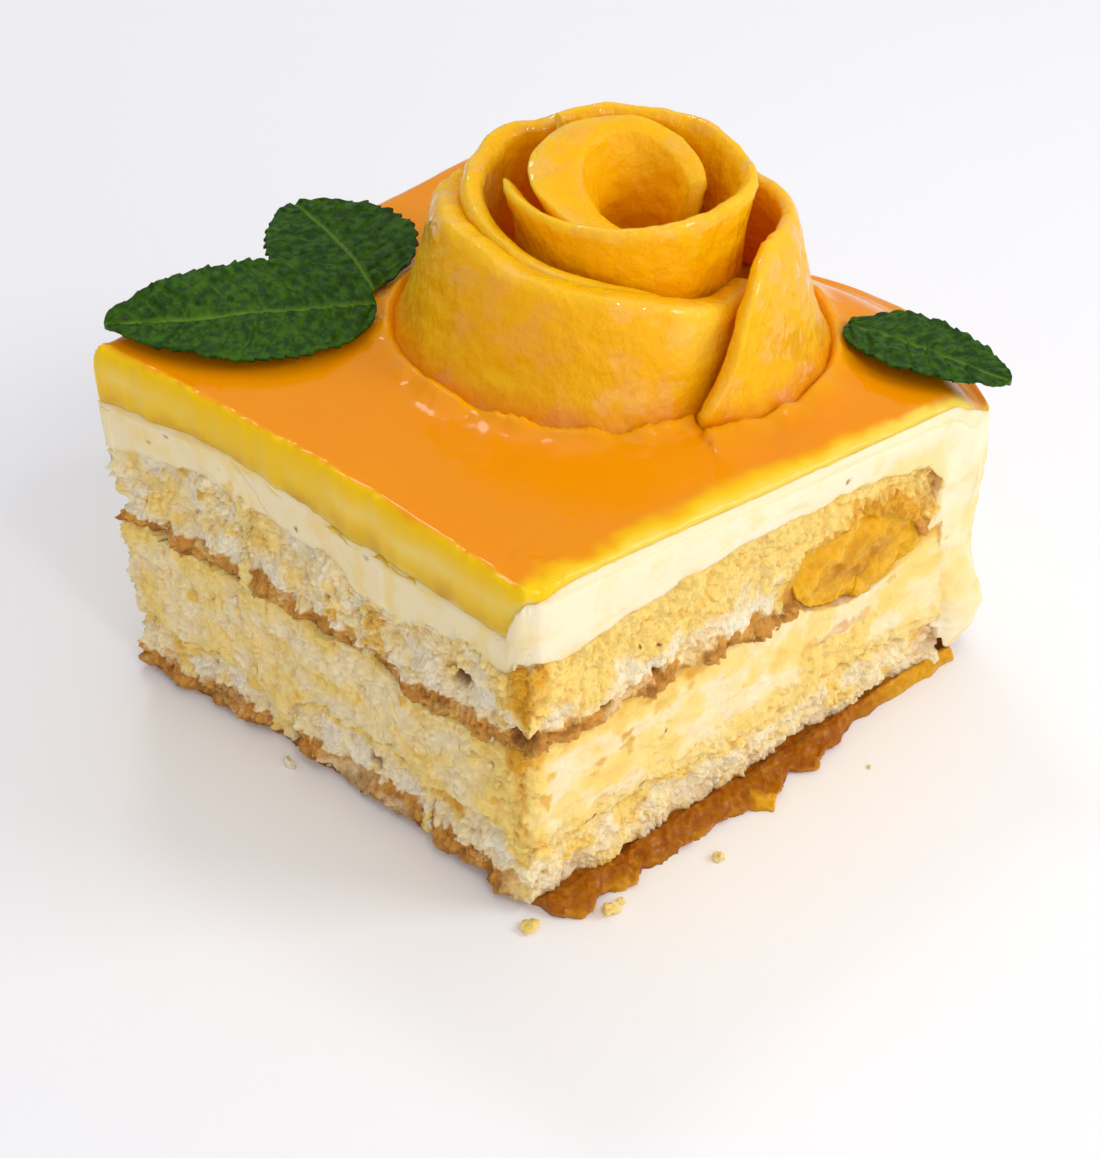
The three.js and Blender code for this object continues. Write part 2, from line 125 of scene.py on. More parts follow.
def bubbles(points: Array, size: float, seed: int = 0) -> Array:
    """Gives the distance to the nearest of many scattered centres, in sizes.

    Args:
        points: Places, in rows or in a grid.
        size: Distance between centres.
        seed: Which centres to use.

    Returns:
        One distance for each place, 0 at a centre and about 1 far from all.
    """
    scaled = points.reshape(-1, 3) / size + BUBBLE_SHIFT
    base = np.floor(scaled)
    nearest = np.full(len(scaled), 9.0)
    for offset in itertools.product((-1, 0, 1), repeat=3):
        cell = base + offset
        away = scaled - cell - scattered(cell, seed)
        nearest = np.minimum(nearest, (away * away).sum(1))
    return np.sqrt(nearest).reshape(points.shape[:-1])


def ease(value: Array, low: float, high: float) -> Array:
    """Rises smoothly from 0 at low to 1 at high; low may be above high."""
    t = np.clip((value - low) / (high - low), 0, 1)
    return t * t * (3 - 2 * t)


def hill(value: Array, centre: float, width: float) -> Array:
    """A smooth hill of height 1 round centre."""
    return np.exp(-(((value - centre) / width) ** 2))


def mix(a: Array, b: Array, share: Array) -> Array:
    """Goes from a to b as share goes from 0 to 1."""
    return a + (b - a) * share


def rounded_edge(first: Array, second: Array, size: float, beyond: float = 0.0) -> tuple[Array, Array]:
    """How far places near the edge between two faces move inwards, to round it.

    Args:
        first: How deep places lie behind the first face.
        second: How deep they lie behind the second face.
        size: Depth at which the rounding starts.
        beyond: How far outside the faces it goes on.

    Returns:
        How far each place moves away from the first face, and from the second.
    """
    most = size + beyond
    p, q = (np.clip(size - depth, 0, most) for depth in (first, second))
    room = 2 * most**2
    return p * (1 - np.sqrt(1 - q * q / room)), q * (1 - np.sqrt(1 - p * p / room))


# The slice's outline and levels
@dataclass(frozen=True)
class Slice:
    """The footprint of the slice and the levels of its top."""

    front_length: float = 76.0
    side_length: float = 72.0
    side_corner: tuple[float, float] = (-14.4, 70.5)
    back_corner: tuple[float, float] = (69.0, 89.0)
    outer_bulge: float = 12.4
    bulge_at: float = 0.28
    bulge_width: float = 0.23
    side_hollow: float = 1.8
    top_at_corner: float = 54.6
    top_slope_x: float = -0.0975
    top_slope_y: float = 0.0113
    shoulder_drop: float = 3.6
    shoulder_width: float = 8.0
    cut_sag: float = 0.7
    cut_width: float = 0.012
    front_sag: float = 0.5
    front_width: float = 0.03
    glaze_sheet: float = 2.7
    glaze_lip: float = 5.4
    glaze_lip_depth: float = 5.0
    lip_start: tuple[float, float] = (0.01, 0.05)
    lip_start_seen: tuple[float, float] = (0.0, 0.04)
    corner_round: float = 2.8
    corner_beyond: float = 0.3
    guesses: int = 16

    def place(self, u: Array, v: Array) -> tuple[Array, Array]:
        """Gives x and y where u runs along the front face and v along the side face."""
        side_x, side_y = self.side_corner
        back_x, back_y = self.back_corner
        x = (1 - v) * self.front_length * u + v * (side_x + (back_x - side_x) * u)
        y = v * (side_y + (back_y - side_y) * u)
        along, across = np.clip(v, 0, 1), np.clip(u, 0, 1)
        bulge = hill(along, self.bulge_at, self.bulge_width) * ease(along, 0, 0.015)
        x = x + self.outer_bulge * bulge * across**4
        x = x + self.side_hollow * np.sin(np.pi * along) * (1 - across) ** 6
        return x, y

    def locate(self, points: Array) -> tuple[Array, Array]:
        """Gives u and v for places, by correcting a guess until it fits."""
        x, y = points[:, 0], points[:, 1]
        u, v = x / self.front_length, y / self.side_length
        side_y, back_y = self.side_corner[1], self.back_corner[1]
        for _ in range(self.guesses):
            near_x, near_y = self.place(u, v)
            u = u + (x - near_x) / (self.front_length + 2 * self.outer_bulge)
            v = v + (y - near_y) / (side_y + (back_y - side_y) * np.clip(u, 0, 1))
        return u, v

    def slope(self, x: Array, y: Array) -> Array:
        """The height of the tilted plane of the top."""
        return self.top_at_corner + self.top_slope_x * x + self.top_slope_y * y

    def glaze_top(self, u: Array, v: Array) -> Array:
        """The height of the glaze, sagging over the shoulder and the cut edges."""
        x, y = self.place(u, v)
        shoulder = ease(u, 1 - self.shoulder_width / self.front_length, 1) ** 2
        cut = np.maximum.reduce([hill(*place, self.cut_width) for place in ((u, 0), (v, 0), (v, 1))])
        front = hill(v, 0, self.front_width)
        level = self.slope(x, y) - self.shoulder_drop * shoulder
        return level - self.cut_sag * cut - self.front_sag * front

    def cream_top(self, u: Array, v: Array) -> Array:
        """The height of the cream under the glaze, lower along the side face."""
        lip = (self.glaze_lip - 2 * hill(v, 0.7, 0.15)) * ease(v, *self.lip_start)
        reach = hill(u * self.front_length, 0, self.glaze_lip_depth)
        sheet = self.glaze_sheet * mix(0.45, 1, ease(v, 0, 0.08))
        return self.glaze_top(u, v) - sheet - lip * reach

    def lip_fade(self, u: Array, v: Array) -> Array:
        """The height to add to the lip's underside near the front corner, where it sets in sooner."""
        reach = hill(u * self.front_length, 0, self.glaze_lip_depth)
        return self.glaze_lip * reach * (ease(v, *self.lip_start) - ease(v, *self.lip_start_seen))

    def corner_shift(self, side: Array, front: Array) -> tuple[Array, Array]:
        """How far places near the front corner move along x and y to round it, from their depths."""
        return rounded_edge(side, front, self.corner_round, self.corner_beyond)


SLICE = Slice()
OUTWARDS = {"front": (0.0, -1.0), "side": (-0.98, -0.2), "outer": (0.997, 0.08), "back": (-0.217, 0.976)}
# Depths between which the look of a wall fades out
FACE_FADE = (1.5, 4.0)
# The middle of the puree pocket on the front face, and how far it reaches along and up
POCKET_CENTRE = (55.5, 29.6)
POCKET_REACH = (11.5, 6.6)


@dataclass(frozen=True)
class Depths:
    """How deep places lie behind each wall of the slice, in millimetres."""

    front: Array
    side: Array
    outer: Array
    back: Array

    @classmethod
    def of(cls, points: Array) -> "Depths":
        """Measures the depths of places."""
        u, v = SLICE.locate(points)
        return cls(
            front=v * SLICE.side_length,
            side=u * SLICE.front_length,
            outer=(1 - u) * SLICE.front_length,
            back=(1 - v) * SLICE.side_length,
        )

    def pushed(self, points: Array, push: Array, reach: float = 2.6) -> Array:
        """Moves places near a wall outwards.

        Args:
            points: Places, one a row.
            push: How far each place goes outwards where it is on a wall.
            reach: Depth at which nothing moves any more.

        Returns:
            The moved places.
        """
        moved = points.copy()
        for wall, direction in OUTWARDS.items():
            share = 1 - ease(getattr(self, wall), 0.5 * reach, reach)
            moved[:, :2] += (share * push)[:, None] * np.array(direction)
        moved[:, :2] += np.stack(SLICE.corner_shift(self.side, self.front), -1)
        return moved

    def nearest(self) -> Array:
        """The smallest of the four depths."""
        return np.minimum(np.minimum(self.front, self.side), np.minimum(self.outer, self.back))


# Meshes
@dataclass
class Shell:
    """A closed mesh of triangles, with numbers kept for each of its points."""

    points: Array
    faces: Array
    values: dict[str, Array] = field(default_factory=dict)

    @classmethod
    def of_node(cls, node: str) -> "Shell":
        """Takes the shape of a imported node, its split points joined again."""
        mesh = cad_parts[node].data
        mesh.calc_loop_triangles()
        points = np.empty(3 * len(mesh.vertices), np.float32)
        mesh.vertices.foreach_get("co", points)
        faces = np.empty(3 * len(mesh.loop_triangles), np.int32)
        mesh.loop_triangles.foreach_get("vertices", faces)
        placed = points.reshape(-1, 3).astype(float) / METRE + ORIGIN
        steps = np.round(placed * 1000).astype(np.int64) + STEPS // 2
        _, first, number = np.unique(steps @ (STEPS**2, STEPS, 1), return_index=True, return_inverse=True)
        joined, faces = placed[first], number[faces.reshape(-1, 3)]
        whole = (faces[:, 0] != faces[:, 1]) & (faces[:, 1] != faces[:, 2]) & (faces[:, 2] != faces[:, 0])
        return cls(joined, faces[whole])

    def normals(self) -> Array:
        """The outward direction at each point."""
        a, b, c = (self.points[self.faces[:, k]] for k in range(3))
        area = np.cross(b - a, c - a)
        total = np.zeros_like(self.points)
        for k in range(3):
            np.add.at(total, self.faces[:, k], area)
        return total / np.maximum(np.linalg.norm(total, axis=1), 1e-9)[:, None]

    def grown(self, distance: float) -> "Shell":
        """The same shape with its surface moved outwards."""
        return Shell(self.points + self.normals() * distance, self.faces)

    def split(self, longest: Callable[[Array], Array]) -> "Shell":
        """Halves every edge that is too long, once.

        Args:
            longest: Gives the length that an edge may have, from the place of its middle.

        Returns:
            The finer mesh.
        """
        ends = np.stack([self.faces, np.roll(self.faces, -1, axis=1)], axis=-1)
        ends.sort(axis=-1)
        keys = ends.reshape(-1, 2) @ np.array([len(self.points), 1])
        keys, number = np.unique(keys, return_inverse=True)
        a, b = self.points[keys // len(self.points)], self.points[keys % len(self.points)]
        middle = (a + b) / 2
        long = np.linalg.norm(a - b, axis=1) > longest(middle)
        added = np.full(len(keys), -1)
        added[long] = len(self.points) + np.arange(long.sum())
        halves = added[number.reshape(-1, 3)]
        cut = halves >= 0
        count = cut.sum(1)
        turn = np.where(count == 1, cut.argmax(1), np.where(count == 2, (~cut).argmax(1) + 1, 0))
        order = (np.arange(3) + turn[:, None]) % 3
        p, q, r = np.take_along_axis(self.faces, order, 1).T
        m, n, o = np.take_along_axis(halves, order, 1).T
        patterns = {
            0: [(p, q, r)],
            1: [(p, m, r), (m, q, r)],
            2: [(m, q, n), (p, m, n), (p, n, r)],
            3: [(p, m, o), (m, q, n), (o, n, r), (m, n, o)],
        }
        faces = [
            np.stack(triangle, axis=1)[count == marks]
            for marks, triangles in patterns.items() for triangle in triangles
        ]
        return Shell(np.vstack([self.points, middle[long]]), np.vstack(faces))

    def rounded(self, rounds: int) -> "Shell":
        """The same shape with its creases rounded, without shrinking.

        Args:
            rounds: How often each point moves towards its neighbours and back.

        Returns:
            The rounder mesh.
        """
        start, end = np.vstack([self.faces, np.roll(self.faces, -1, axis=1)]).reshape(2, -1)
        count = np.maximum(np.bincount(start, minlength=len(self.points)), 1)
        points = self.points
        for share in (0.5, -0.52) * rounds:
            sums = [np.bincount(start, points[end, axis], len(points)) for axis in range(3)]
            points = points + share * (np.stack(sums, 1) / count[:, None] - points)
        return Shell(points, self.faces)

    def refined(self, longest: Callable[[Array], Array], rounds: int = 8) -> "Shell":
        """Halves edges until none is too long."""
        finer = self
        for _ in range(rounds):
            before = len(finer.points)
            finer = finer.split(longest)
            if len(finer.points) == before:
                break
        return finer


def grid_triangles(columns: int, rows: int, joined: bool = False) -> Array:
    """Gives the triangles of a grid whose points are numbered column by column.

    Args:
        columns: Number of points one way.
        rows: Number of points the other way.
        joined: Whether the last row is joined to the first.

    Returns:
        Triangles, one a row.
    """
    column, row = np.meshgrid(np.arange(columns - 1), np.arange(rows - (not joined)), indexing="ij")
    a = (column * rows + row).ravel()
    b = ((column + 1) * rows + row).ravel()
    up = (row + 1) % rows
    c = ((column + 1) * rows + up).ravel()
    d = (column * rows + up).ravel()
    return np.vstack([np.stack([a, b, c], 1), np.stack([a, c, d], 1)])


def closed_sheet(upper: Array, lower: Array, values: dict[str, Array]) -> Shell:
    """Joins two grids of points, one above the other, round their rim.

    Args:
        upper: Points of the upper face, columns by rows by 3.
        lower: Points of the lower face, in the same order.
        values: Numbers for each point of the grid, the same on both faces.

    Returns:
        The closed sheet.
    """
    columns, rows = upper.shape[:2]
    count = columns * rows
    face = grid_triangles(columns, rows)
    numbers = np.arange(count).reshape(columns, rows)
    rim = np.concatenate([numbers[:, 0], numbers[-1, 1:], numbers[-2::-1, -1], numbers[0, -2:0:-1]])
    after = np.roll(rim, -1)
    wall = [np.stack([rim, rim + count, after], 1), np.stack([after, rim + count, after + count], 1)]
    points = np.vstack([upper.reshape(-1, 3), lower.reshape(-1, 3)])
    twice = {key: np.concatenate([numbers.ravel()] * 2) for key, numbers in values.items()}
    return Shell(points, np.vstack([face, face[:, ::-1] + count, *wall]), twice)


def lofted(sections: Array) -> Shell:
    """Joins closed outlines into a bar and closes its two ends.

    Args:
        sections: Outlines by points by 3.

    Returns:
        The closed bar.
    """
    count, around = sections.shape[:2]
    faces = [grid_triangles(count, around, joined=True)]
    points = [sections.reshape(-1, 3)]
    step = np.arange(around)
    after = (step + 1) % around
    for end, centre in ((0, count * around), (count - 1, count * around + 1)):
        points.append(sections[end].mean(axis=0, keepdims=True))
        ring = [np.full(around, centre), end * around + step, end * around + after]
        faces.append(np.stack(ring if end == 0 else ring[::-1], 1))
    return Shell(np.vstack(points), np.vstack(faces))


def joined_shells(shells: Sequence[Shell]) -> Shell:
    """Puts several shells into one mesh."""
    starts = np.cumsum([0] + [len(shell.points) for shell in shells[:-1]])
    faces = [shell.faces + start for shell, start in zip(shells, starts)]
    values = {key: np.concatenate([shell.values[key] for shell in shells]) for key in shells[0].values}
    return Shell(np.vstack([shell.points for shell in shells]), np.vstack(faces), values)


def make_piece(
    name: str, shell: Shell, material: bpy.types.Material, nodes: Sequence[str] = ()
) -> bpy.types.Object:
    """Turns a shell into a piece of the scene.

    Args:
        name: Name of the piece.
        shell: Its mesh, in millimetres from the front corner.
        material: Its finish.
        nodes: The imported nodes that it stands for.

    Returns:
        The piece.
    """
    mesh = bpy.data.meshes.new(name)
    mesh.vertices.add(len(shell.points))
    mesh.vertices.foreach_set("co", ((shell.points - ORIGIN) * METRE).astype(np.float32).ravel())
    mesh.loops.add(shell.faces.size)
    mesh.loops.foreach_set("vertex_index", shell.faces.astype(np.int32).ravel())
    mesh.polygons.add(len(shell.faces))
    mesh.polygons.foreach_set("loop_start", np.arange(0, shell.faces.size, 3, dtype=np.int32))
    mesh.polygons.foreach_set("use_smooth", np.ones(len(shell.faces), dtype=bool))
    for key, numbers in shell.values.items():
        kept = mesh.attributes.new(key, "FLOAT", "POINT")
        kept.data.foreach_set("value", np.clip(numbers, 0, 1).astype(np.float32))
    mesh.update(calc_edges=True)
    mesh.validate()
    mesh.materials.append(material)
    piece = bpy.data.objects.new(name, mesh)
    bpy.context.scene.collection.objects.link(piece)
    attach(piece, BODY)
    if nodes:
        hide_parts(*nodes)
    log.info("%s: %d triangles", name, len(shell.faces))
    return piece


# Materials
def paint(red: int, green: int, blue: int) -> Colour:
    """Turns a screen colour from 0 to 255 into the numbers that a shader takes."""
    def linear(value: float) -> float:
        """Turns one of the three numbers from 0 to 1."""
        return value / 12.92 if value <= 0.04045 else ((value + 0.055) / 1.055) ** 2.4
    return linear(red / 255), linear(green / 255), linear(blue / 255)


class Wire:
    """A socket of a material's node, which can be used in sums."""

    def __init__(self, graph: "Graph", socket: bpy.types.NodeSocket) -> None:
        """Keeps the socket and the graph that it belongs to."""
        self.graph = graph
        self.socket = socket

    @staticmethod
    def _operator(operation: str, turned: bool = False) -> Callable[["Wire", "Wire | float"], "Wire"]:
        """Gives a method that adds a Math node on the wire and another value, in turn or turned round."""
        def method(wire: "Wire", other: "Wire | float") -> "Wire":
            """Works out the operation on the two."""
            values = (other, wire) if turned else (wire, other)
            node = wire.graph.add("ShaderNodeMath", {"operation": operation}, dict(enumerate(values)))
            return node["Value"]
        return method

    __add__ = __radd__ = _operator("ADD")
    __mul__ = __rmul__ = _operator("MULTIPLY")
    __sub__ = _operator("SUBTRACT")
    __rsub__ = _operator("SUBTRACT", turned=True)

    def limited(self) -> "Wire":
        """Keeps the value between 0 and 1."""
        node = self.graph.add("ShaderNodeClamp", {}, {"Value": self})
        return node["Result"]

    def between(self, low: float, high: float) -> "Wire":
        """Rises smoothly from 0 at low to 1 at high."""
        settings = {"interpolation_type": "SMOOTHSTEP"}
        sockets = {"Value": self, "From Min": low, "From Max": high}
        if low > high:
            sockets.update({"From Min": high, "From Max": low, "To Min": 1.0, "To Max": 0.0})
        return self.graph.add("ShaderNodeMapRange", settings, sockets)["Result"]


class Placed:
    """A node that has been added, whose outputs are read by name."""

    def __init__(self, graph: "Graph", node: bpy.types.Node) -> None:
        """Keeps the node and its graph."""
        self.graph = graph
        self.node = node

    def __getitem__(self, output: str | int) -> Wire:
        """Gives an output as a wire."""
        return Wire(self.graph, self.node.outputs[output])


class Graph:
    """The node tree of one material."""

    def __init__(self, name: str) -> None:
        """Makes the material with an empty tree."""
        self.material = bpy.data.materials.new(name)
        self.material.use_nodes = True
        self.tree = self.material.node_tree
        self.tree.nodes.clear()
        self.where = self.add("ShaderNodeTexCoord")["Object"]

    def add(
        self, kind: str, settings: dict[str, object] | None = None,
        sockets: dict[str | int, object] | None = None,
    ) -> Placed:
        """Adds a node.

        Args:
            kind: Blender's name for the type of node.
            settings: Its settings, which are set first.
            sockets: Values or wires for its inputs, by name or number.

        Returns:
            The node.
        """
        node = self.tree.nodes.new(kind)
        for key, value in (settings or {}).items():
            setattr(node, key, value)
        for key, value in (sockets or {}).items():
            if isinstance(value, Wire):
                self.tree.links.new(value.socket, node.inputs[key])
            elif isinstance(value, tuple) and len(value) == 3 and node.inputs[key].type == "RGBA":
                node.inputs[key].default_value = (*value, 1.0)
            else:
                node.inputs[key].default_value = value
        return Placed(self, node)

    def value(self, name: str) -> Wire:
        """Reads a number kept on the mesh."""
        return self.add("ShaderNodeAttribute", {"attribute_name": name})["Fac"]

    def noise(self, size: float, detail: float = 2.0, stretch: Sequence[float] = (1, 1, 1)) -> Wire:
        """Noise from 0 to 1 with bumps of a size in millimetres."""
        scaled = self.add("ShaderNodeMapping", {}, {"Vector": self.where, "Scale": stretch})["Vector"]
        sockets = {"Vector": scaled, "Scale": 1 / (size * METRE), "Detail": detail}
        return self.add("ShaderNodeTexNoise", {}, sockets)["Fac"]

    def cells(self, size: float) -> Wire:
        """Distance to scattered centres a size in millimetres apart."""
        sockets = {"Vector": self.where, "Scale": 1 / (size * METRE)}
        return self.add("ShaderNodeTexVoronoi", {}, sockets)["Distance"]

    def blend(
        self, share: Wire | float, first: Wire | Colour, second: Wire | Colour, way: str = "MIX"
    ) -> Wire:
        """Mixes two colours."""
        settings = {"data_type": "RGBA", "blend_type": way}
        return self.add("ShaderNodeMix", settings, {0: share, 6: first, 7: second})[2]

    def bump(self, height: Wire, distance: float, strength: float = 1.0, under: Wire | None = None) -> Wire:
        """Turns heights from 0 to 1 into a bumpy normal, distance millimetres deep."""
        sockets = {"Height": height, "Distance": distance * METRE, "Strength": strength}
        if under is not None:
            sockets["Normal"] = under
        return self.add("ShaderNodeBump", {}, sockets)["Normal"]

    @staticmethod
    def soft(weight: float, radius: Triple, shine: float) -> dict[str, object]:
        """Sockets for light that sinks in, each colour to its depth in millimetres, and for shine."""
        return {
            "Subsurface Weight": weight, "Subsurface Radius": tuple(depth * METRE for depth in radius),
            "Subsurface Scale": 1.0, "Specular IOR Level": shine,
        }

    def finish(self, sockets: dict[str, object]) -> bpy.types.Material:
        """Adds the shader and the output, and gives the material."""
        shader = self.add("ShaderNodeBsdfPrincipled", {}, sockets)["BSDF"]
        self.add("ShaderNodeOutputMaterial", {}, {"Surface": shader})
        return self.material


@dataclass(frozen=True)
class LayerFinish:
    """Cream and sponge crumb in one finish: smooth or crumbly, soaked, browned or wet in places, and
    darkened as painted shade in its pores, hollows and caves.
    """

    name: str
    cream: Colour = paint(252, 236, 203)
    crumb: Colour = paint(248, 236, 210)
    soaked: Colour = paint(251, 216, 122)
    amber: Colour = paint(228, 166, 40)
    crust: Colour = paint(172, 114, 40)
    golden: Colour = paint(214, 152, 66)
    # Wet crust at the fingers' foot; the caves are also darkened with this colour as painted shade.
    wet: Colour = paint(136, 90, 24)
    # Painted shade: the colour that pores, hollows of the torn crumb and caves are multiplied by.
    hollow: Colour = paint(218, 184, 128)

    def material(self) -> bpy.types.Material:
        """Builds the material."""
        graph = Graph(self.name)
        fine, grain, broad = graph.noise(0.45, 3), graph.noise(1.4, 3), graph.noise(4.0, 3)
        crumb, crust, soak, wet = (graph.value(name) for name in ("crumb", "crust", "soak", "wet"))
        there = soak.between(0.0, 0.3)
        soak = soak + (broad - 0.5) * 0.3 * there + (grain - 0.5) * 0.25 * crumb * there
        colour = graph.blend(crumb, self.cream, self.crumb)
        colour = graph.blend(soak.between(0.0, 0.55), colour, self.soaked)
        colour = graph.blend(soak.between(0.5, 1.0), colour, self.amber)
        uneven = (fine - 0.5) * 1.2 * crust + (grain - 0.5) * 1.6 * crust
        browned = (crust * 1.3 - 0.12 + uneven).limited()
        tone = graph.blend(graph.noise(2.4, 3).between(0.34, 0.54), self.crust, self.golden)
        colour = graph.blend(browned, colour, tone)
        colour = graph.blend((wet + (grain - 0.5) * wet).limited(), colour, self.wet)
        # Painted shade: pores, hollows and caves are darkened by multiplying with the hollow colour.
        pores = graph.cells(0.6).between(0.12, 0.5)
        deep = (graph.value("hollow") * 0.6 + (1 - pores) * 0.12 * crumb).limited()
        colour = graph.blend(deep, colour, graph.blend(1.0, colour, self.hollow, "MULTIPLY"))
        soft = graph.bump(graph.noise(2.2, 3), 0.16, 0.7)
        height = fine * (0.2 + 0.8 * crumb) + 0.35 * pores * crumb
        normal = graph.bump(height, 0.3, 0.8, soft)
        return graph.finish({
            "Base Color": colour, "Roughness": 0.45 + 0.4 * crumb - 0.35 * wet, "Normal": normal,
            **graph.soft(0.22, (2.2, 1.7, 1.0), shine=0.35),
        })


@dataclass(frozen=True)
class GlazeFinish:
    """Mango glaze: deep orange where it lies thick on the top, yellow in its lip and thin edges."""

    deep: Colour = paint(241, 147, 0)
    lip: Colour = paint(250, 200, 0)
    pale: Colour = paint(253, 229, 146)
    gold: Colour = paint(222, 160, 0)

    def material(self) -> bpy.types.Material:
        """Builds the material."""
        graph = Graph("mango_glaze")
        broad = graph.noise(12, 2)
        lip = (graph.value("lip") + (broad - 0.5) * 0.16).limited()
        colour = graph.blend(lip, self.deep, self.lip)
        gold = graph.value("gold")
        gold = (gold + (graph.noise(3.0, 3) - 0.5) * 0.9 * gold.between(0.0, 0.3)).limited()
        colour = graph.blend(gold, colour, self.gold)
        pale = graph.value("pale")
        pale = (pale + (graph.noise(2.6, 3) - 0.5) * 0.5 * pale.between(0.0, 0.4)).limited()
        colour = graph.blend(pale, colour, self.pale)
        normal = graph.bump(graph.noise(4, 2), 0.08, 0.5)
        return graph.finish({
            "Base Color": colour, "Roughness": 0.14 + 0.2 * pale, "Normal": normal,
            **graph.soft(0.4, (4.0, 2.2, 0.5), shine=0.2),
        })


@dataclass(frozen=True)
class PureeFinish:
    """Glossy amber mango puree with fibres and small lumps."""

    deep: Colour = paint(158, 86, 0)
    thin: Colour = paint(236, 176, 30)

    def material(self) -> bpy.types.Material:
        """Builds the material."""
        graph = Graph("mango_puree")
        lumps = graph.noise(1.2, 4)
        share = (graph.value("thin") + (lumps - 0.5) * 0.8).limited()
        colour = graph.blend(share, self.deep, self.thin)
        normal = graph.bump(lumps, 0.25, 0.7)
        normal = graph.bump(graph.noise(0.5, 2), 0.08, 0.6, normal)
        return graph.finish({
            "Base Color": colour, "Roughness": 0.14, "Normal": normal,
            **graph.soft(0.3, (3.0, 1.6, 0.3), shine=0.16),
        })


@dataclass(frozen=True)
class MangoFinish:
    """Moist mango flesh: a fine grain of fibres, deeper orange at the foot, and painted shade deepening the
    orange low inside the folds.
    """

    flesh: Colour = paint(255, 186, 0)
    deep: Colour = paint(240, 142, 0)
    pale: Colour = paint(254, 202, 60)

    def material(self) -> bpy.types.Material:
        """Builds the material."""
        graph = Graph("mango_flesh")
        broad, grain = graph.noise(5, 3), graph.noise(0.8, 4, (1, 1, 0.5))
        # deep holds painted shade low inside the folds as well as the deeper orange at the foot.
        deep = (graph.value("deep") + (broad - 0.5) * 1.0 + (grain - 0.5) * 0.4).limited()
        colour = graph.blend(deep, self.flesh, self.deep)
        pale = graph.value("pale")
        pale = (pale + (broad - 0.5) * 0.5 * pale + (grain - 0.5) * 0.35).limited()
        colour = graph.blend(pale, colour, self.pale)
        normal = graph.bump(grain, 0.2, 0.7)
        normal = graph.bump(graph.noise(2.2, 4), 0.62, 0.9, normal)
        return graph.finish({
            "Base Color": colour, "Roughness": 0.22 + 0.24 * grain, "Normal": normal,
            "Coat Weight": 0.8 * broad.between(0.5, 0.6), "Coat Roughness": 0.05,
            **graph.soft(0.5, (5.0, 2.6, 0.5), shine=0.2),
        })


@dataclass(frozen=True)
class MintFinish:
    """A mint leaf: dark green and quilted, with paler veins."""

    blade: Colour = paint(56, 98, 4)
    shade: Colour = paint(26, 60, 2)
    vein: Colour = paint(104, 140, 40)

    def material(self) -> bpy.types.Material:
        """Builds the material."""
        graph = Graph("mint_leaf")
        mottle = graph.noise(1.3, 3)
        colour = graph.blend(mottle.between(0.35, 0.7), self.shade, self.blade)
        colour = graph.blend(graph.value("vein") * 0.75, colour, self.vein)
        normal = graph.bump(graph.cells(0.9), 0.14, 0.6)
        normal = graph.bump(graph.noise(0.35, 2), 0.05, 0.5, normal)
        return graph.finish({
            "Base Color": colour, "Roughness": 0.34 + 0.2 * mottle, "Normal": normal,
            **graph.soft(0.12, (0.4, 1.0, 0.2), shine=0.13),
        })


@dataclass(frozen=True)
class TableFinish:
    """The plain pale floor."""

    tone: Colour = paint(250, 250, 255)
    shade: Colour = paint(247, 247, 254)

    def material(self) -> bpy.types.Material:
        """Builds the material."""
        graph = Graph("pale_floor")
        soft = graph.noise(60, 2)
        colour = graph.blend(soft * 0.3, self.tone, self.shade)
        return graph.finish({"Base Color": colour, "Roughness": 0.7})


# The cut faces
class Wall(Enum):
    """The two cut faces that show the layers."""

    FRONT = "front"
    SIDE = "side"


@dataclass(frozen=True)
class Mark:
    """A round place on a cut face: how far along, how high, how wide and how strong."""

    wall: Wall
    along: float
    height: float
    size: float
    strength: float = 1.0


def marks(
    wall: Wall, size: float, strength: float, places: Sequence[tuple[float, float]]
) -> tuple[Mark, ...]:
    """Makes marks of one size."""
    return tuple(Mark(wall, along, height, size, strength) for along, height in places)


BROWN_SPOTS = (
    *marks(Wall.FRONT, 1.5, 0.95, ((16.2, 21.3), (2.5, 19.6), (11.3, 20.9), (15.8, 23.2))),
    *marks(Wall.FRONT, 1.0, 0.8, ((3.6, 23.2), (21.1, 24.5), (26.1, 24.9), (21.3, 18.9), (62.5, 22.6))),
    *marks(Wall.SIDE, 1.3, 0.6, ((56.0, 22.0), (47.0, 36.2), (67.0, 33.0), (25.8, 30.0), (51.0, 43.4))),
    *marks(Wall.SIDE, 1.6, 0.85, ((26.9, 34.2), (26.4, 31.6), (26.9, 36.6), (60.4, 41.2), (56.6, 41.0))),
)
AMBER_SPOTS = (
    *marks(Wall.FRONT, 3.0, 0.62, ((17.7, 26.6), (21.9, 25.4), (14.4, 26.0))),
    *marks(Wall.FRONT, 2.2, 0.6, ((6.5, 8.2), (9.0, 7.4), (1.0, 12.0))),
    *marks(Wall.FRONT, 4.2, 0.44, ((26.5, 20.5), (49.0, 22.4), (34.0, 24.6), (6.0, 16.0))),
    *marks(Wall.SIDE, 1.8, 0.72, (
        (49.9, 8.8), (41.9, 12.0), (8.5, 2.6), (20.8, 2.6), (15.5, 2.4), (60.0, 20.0),
    )),
    *marks(Wall.SIDE, 1.3, 0.75, (
        (34.0, 31.5), (31.0, 30.6), (46.0, 27.2), (6.0, 17.0), (22.0, 24.0), (1.2, 28.6),
    )),
)
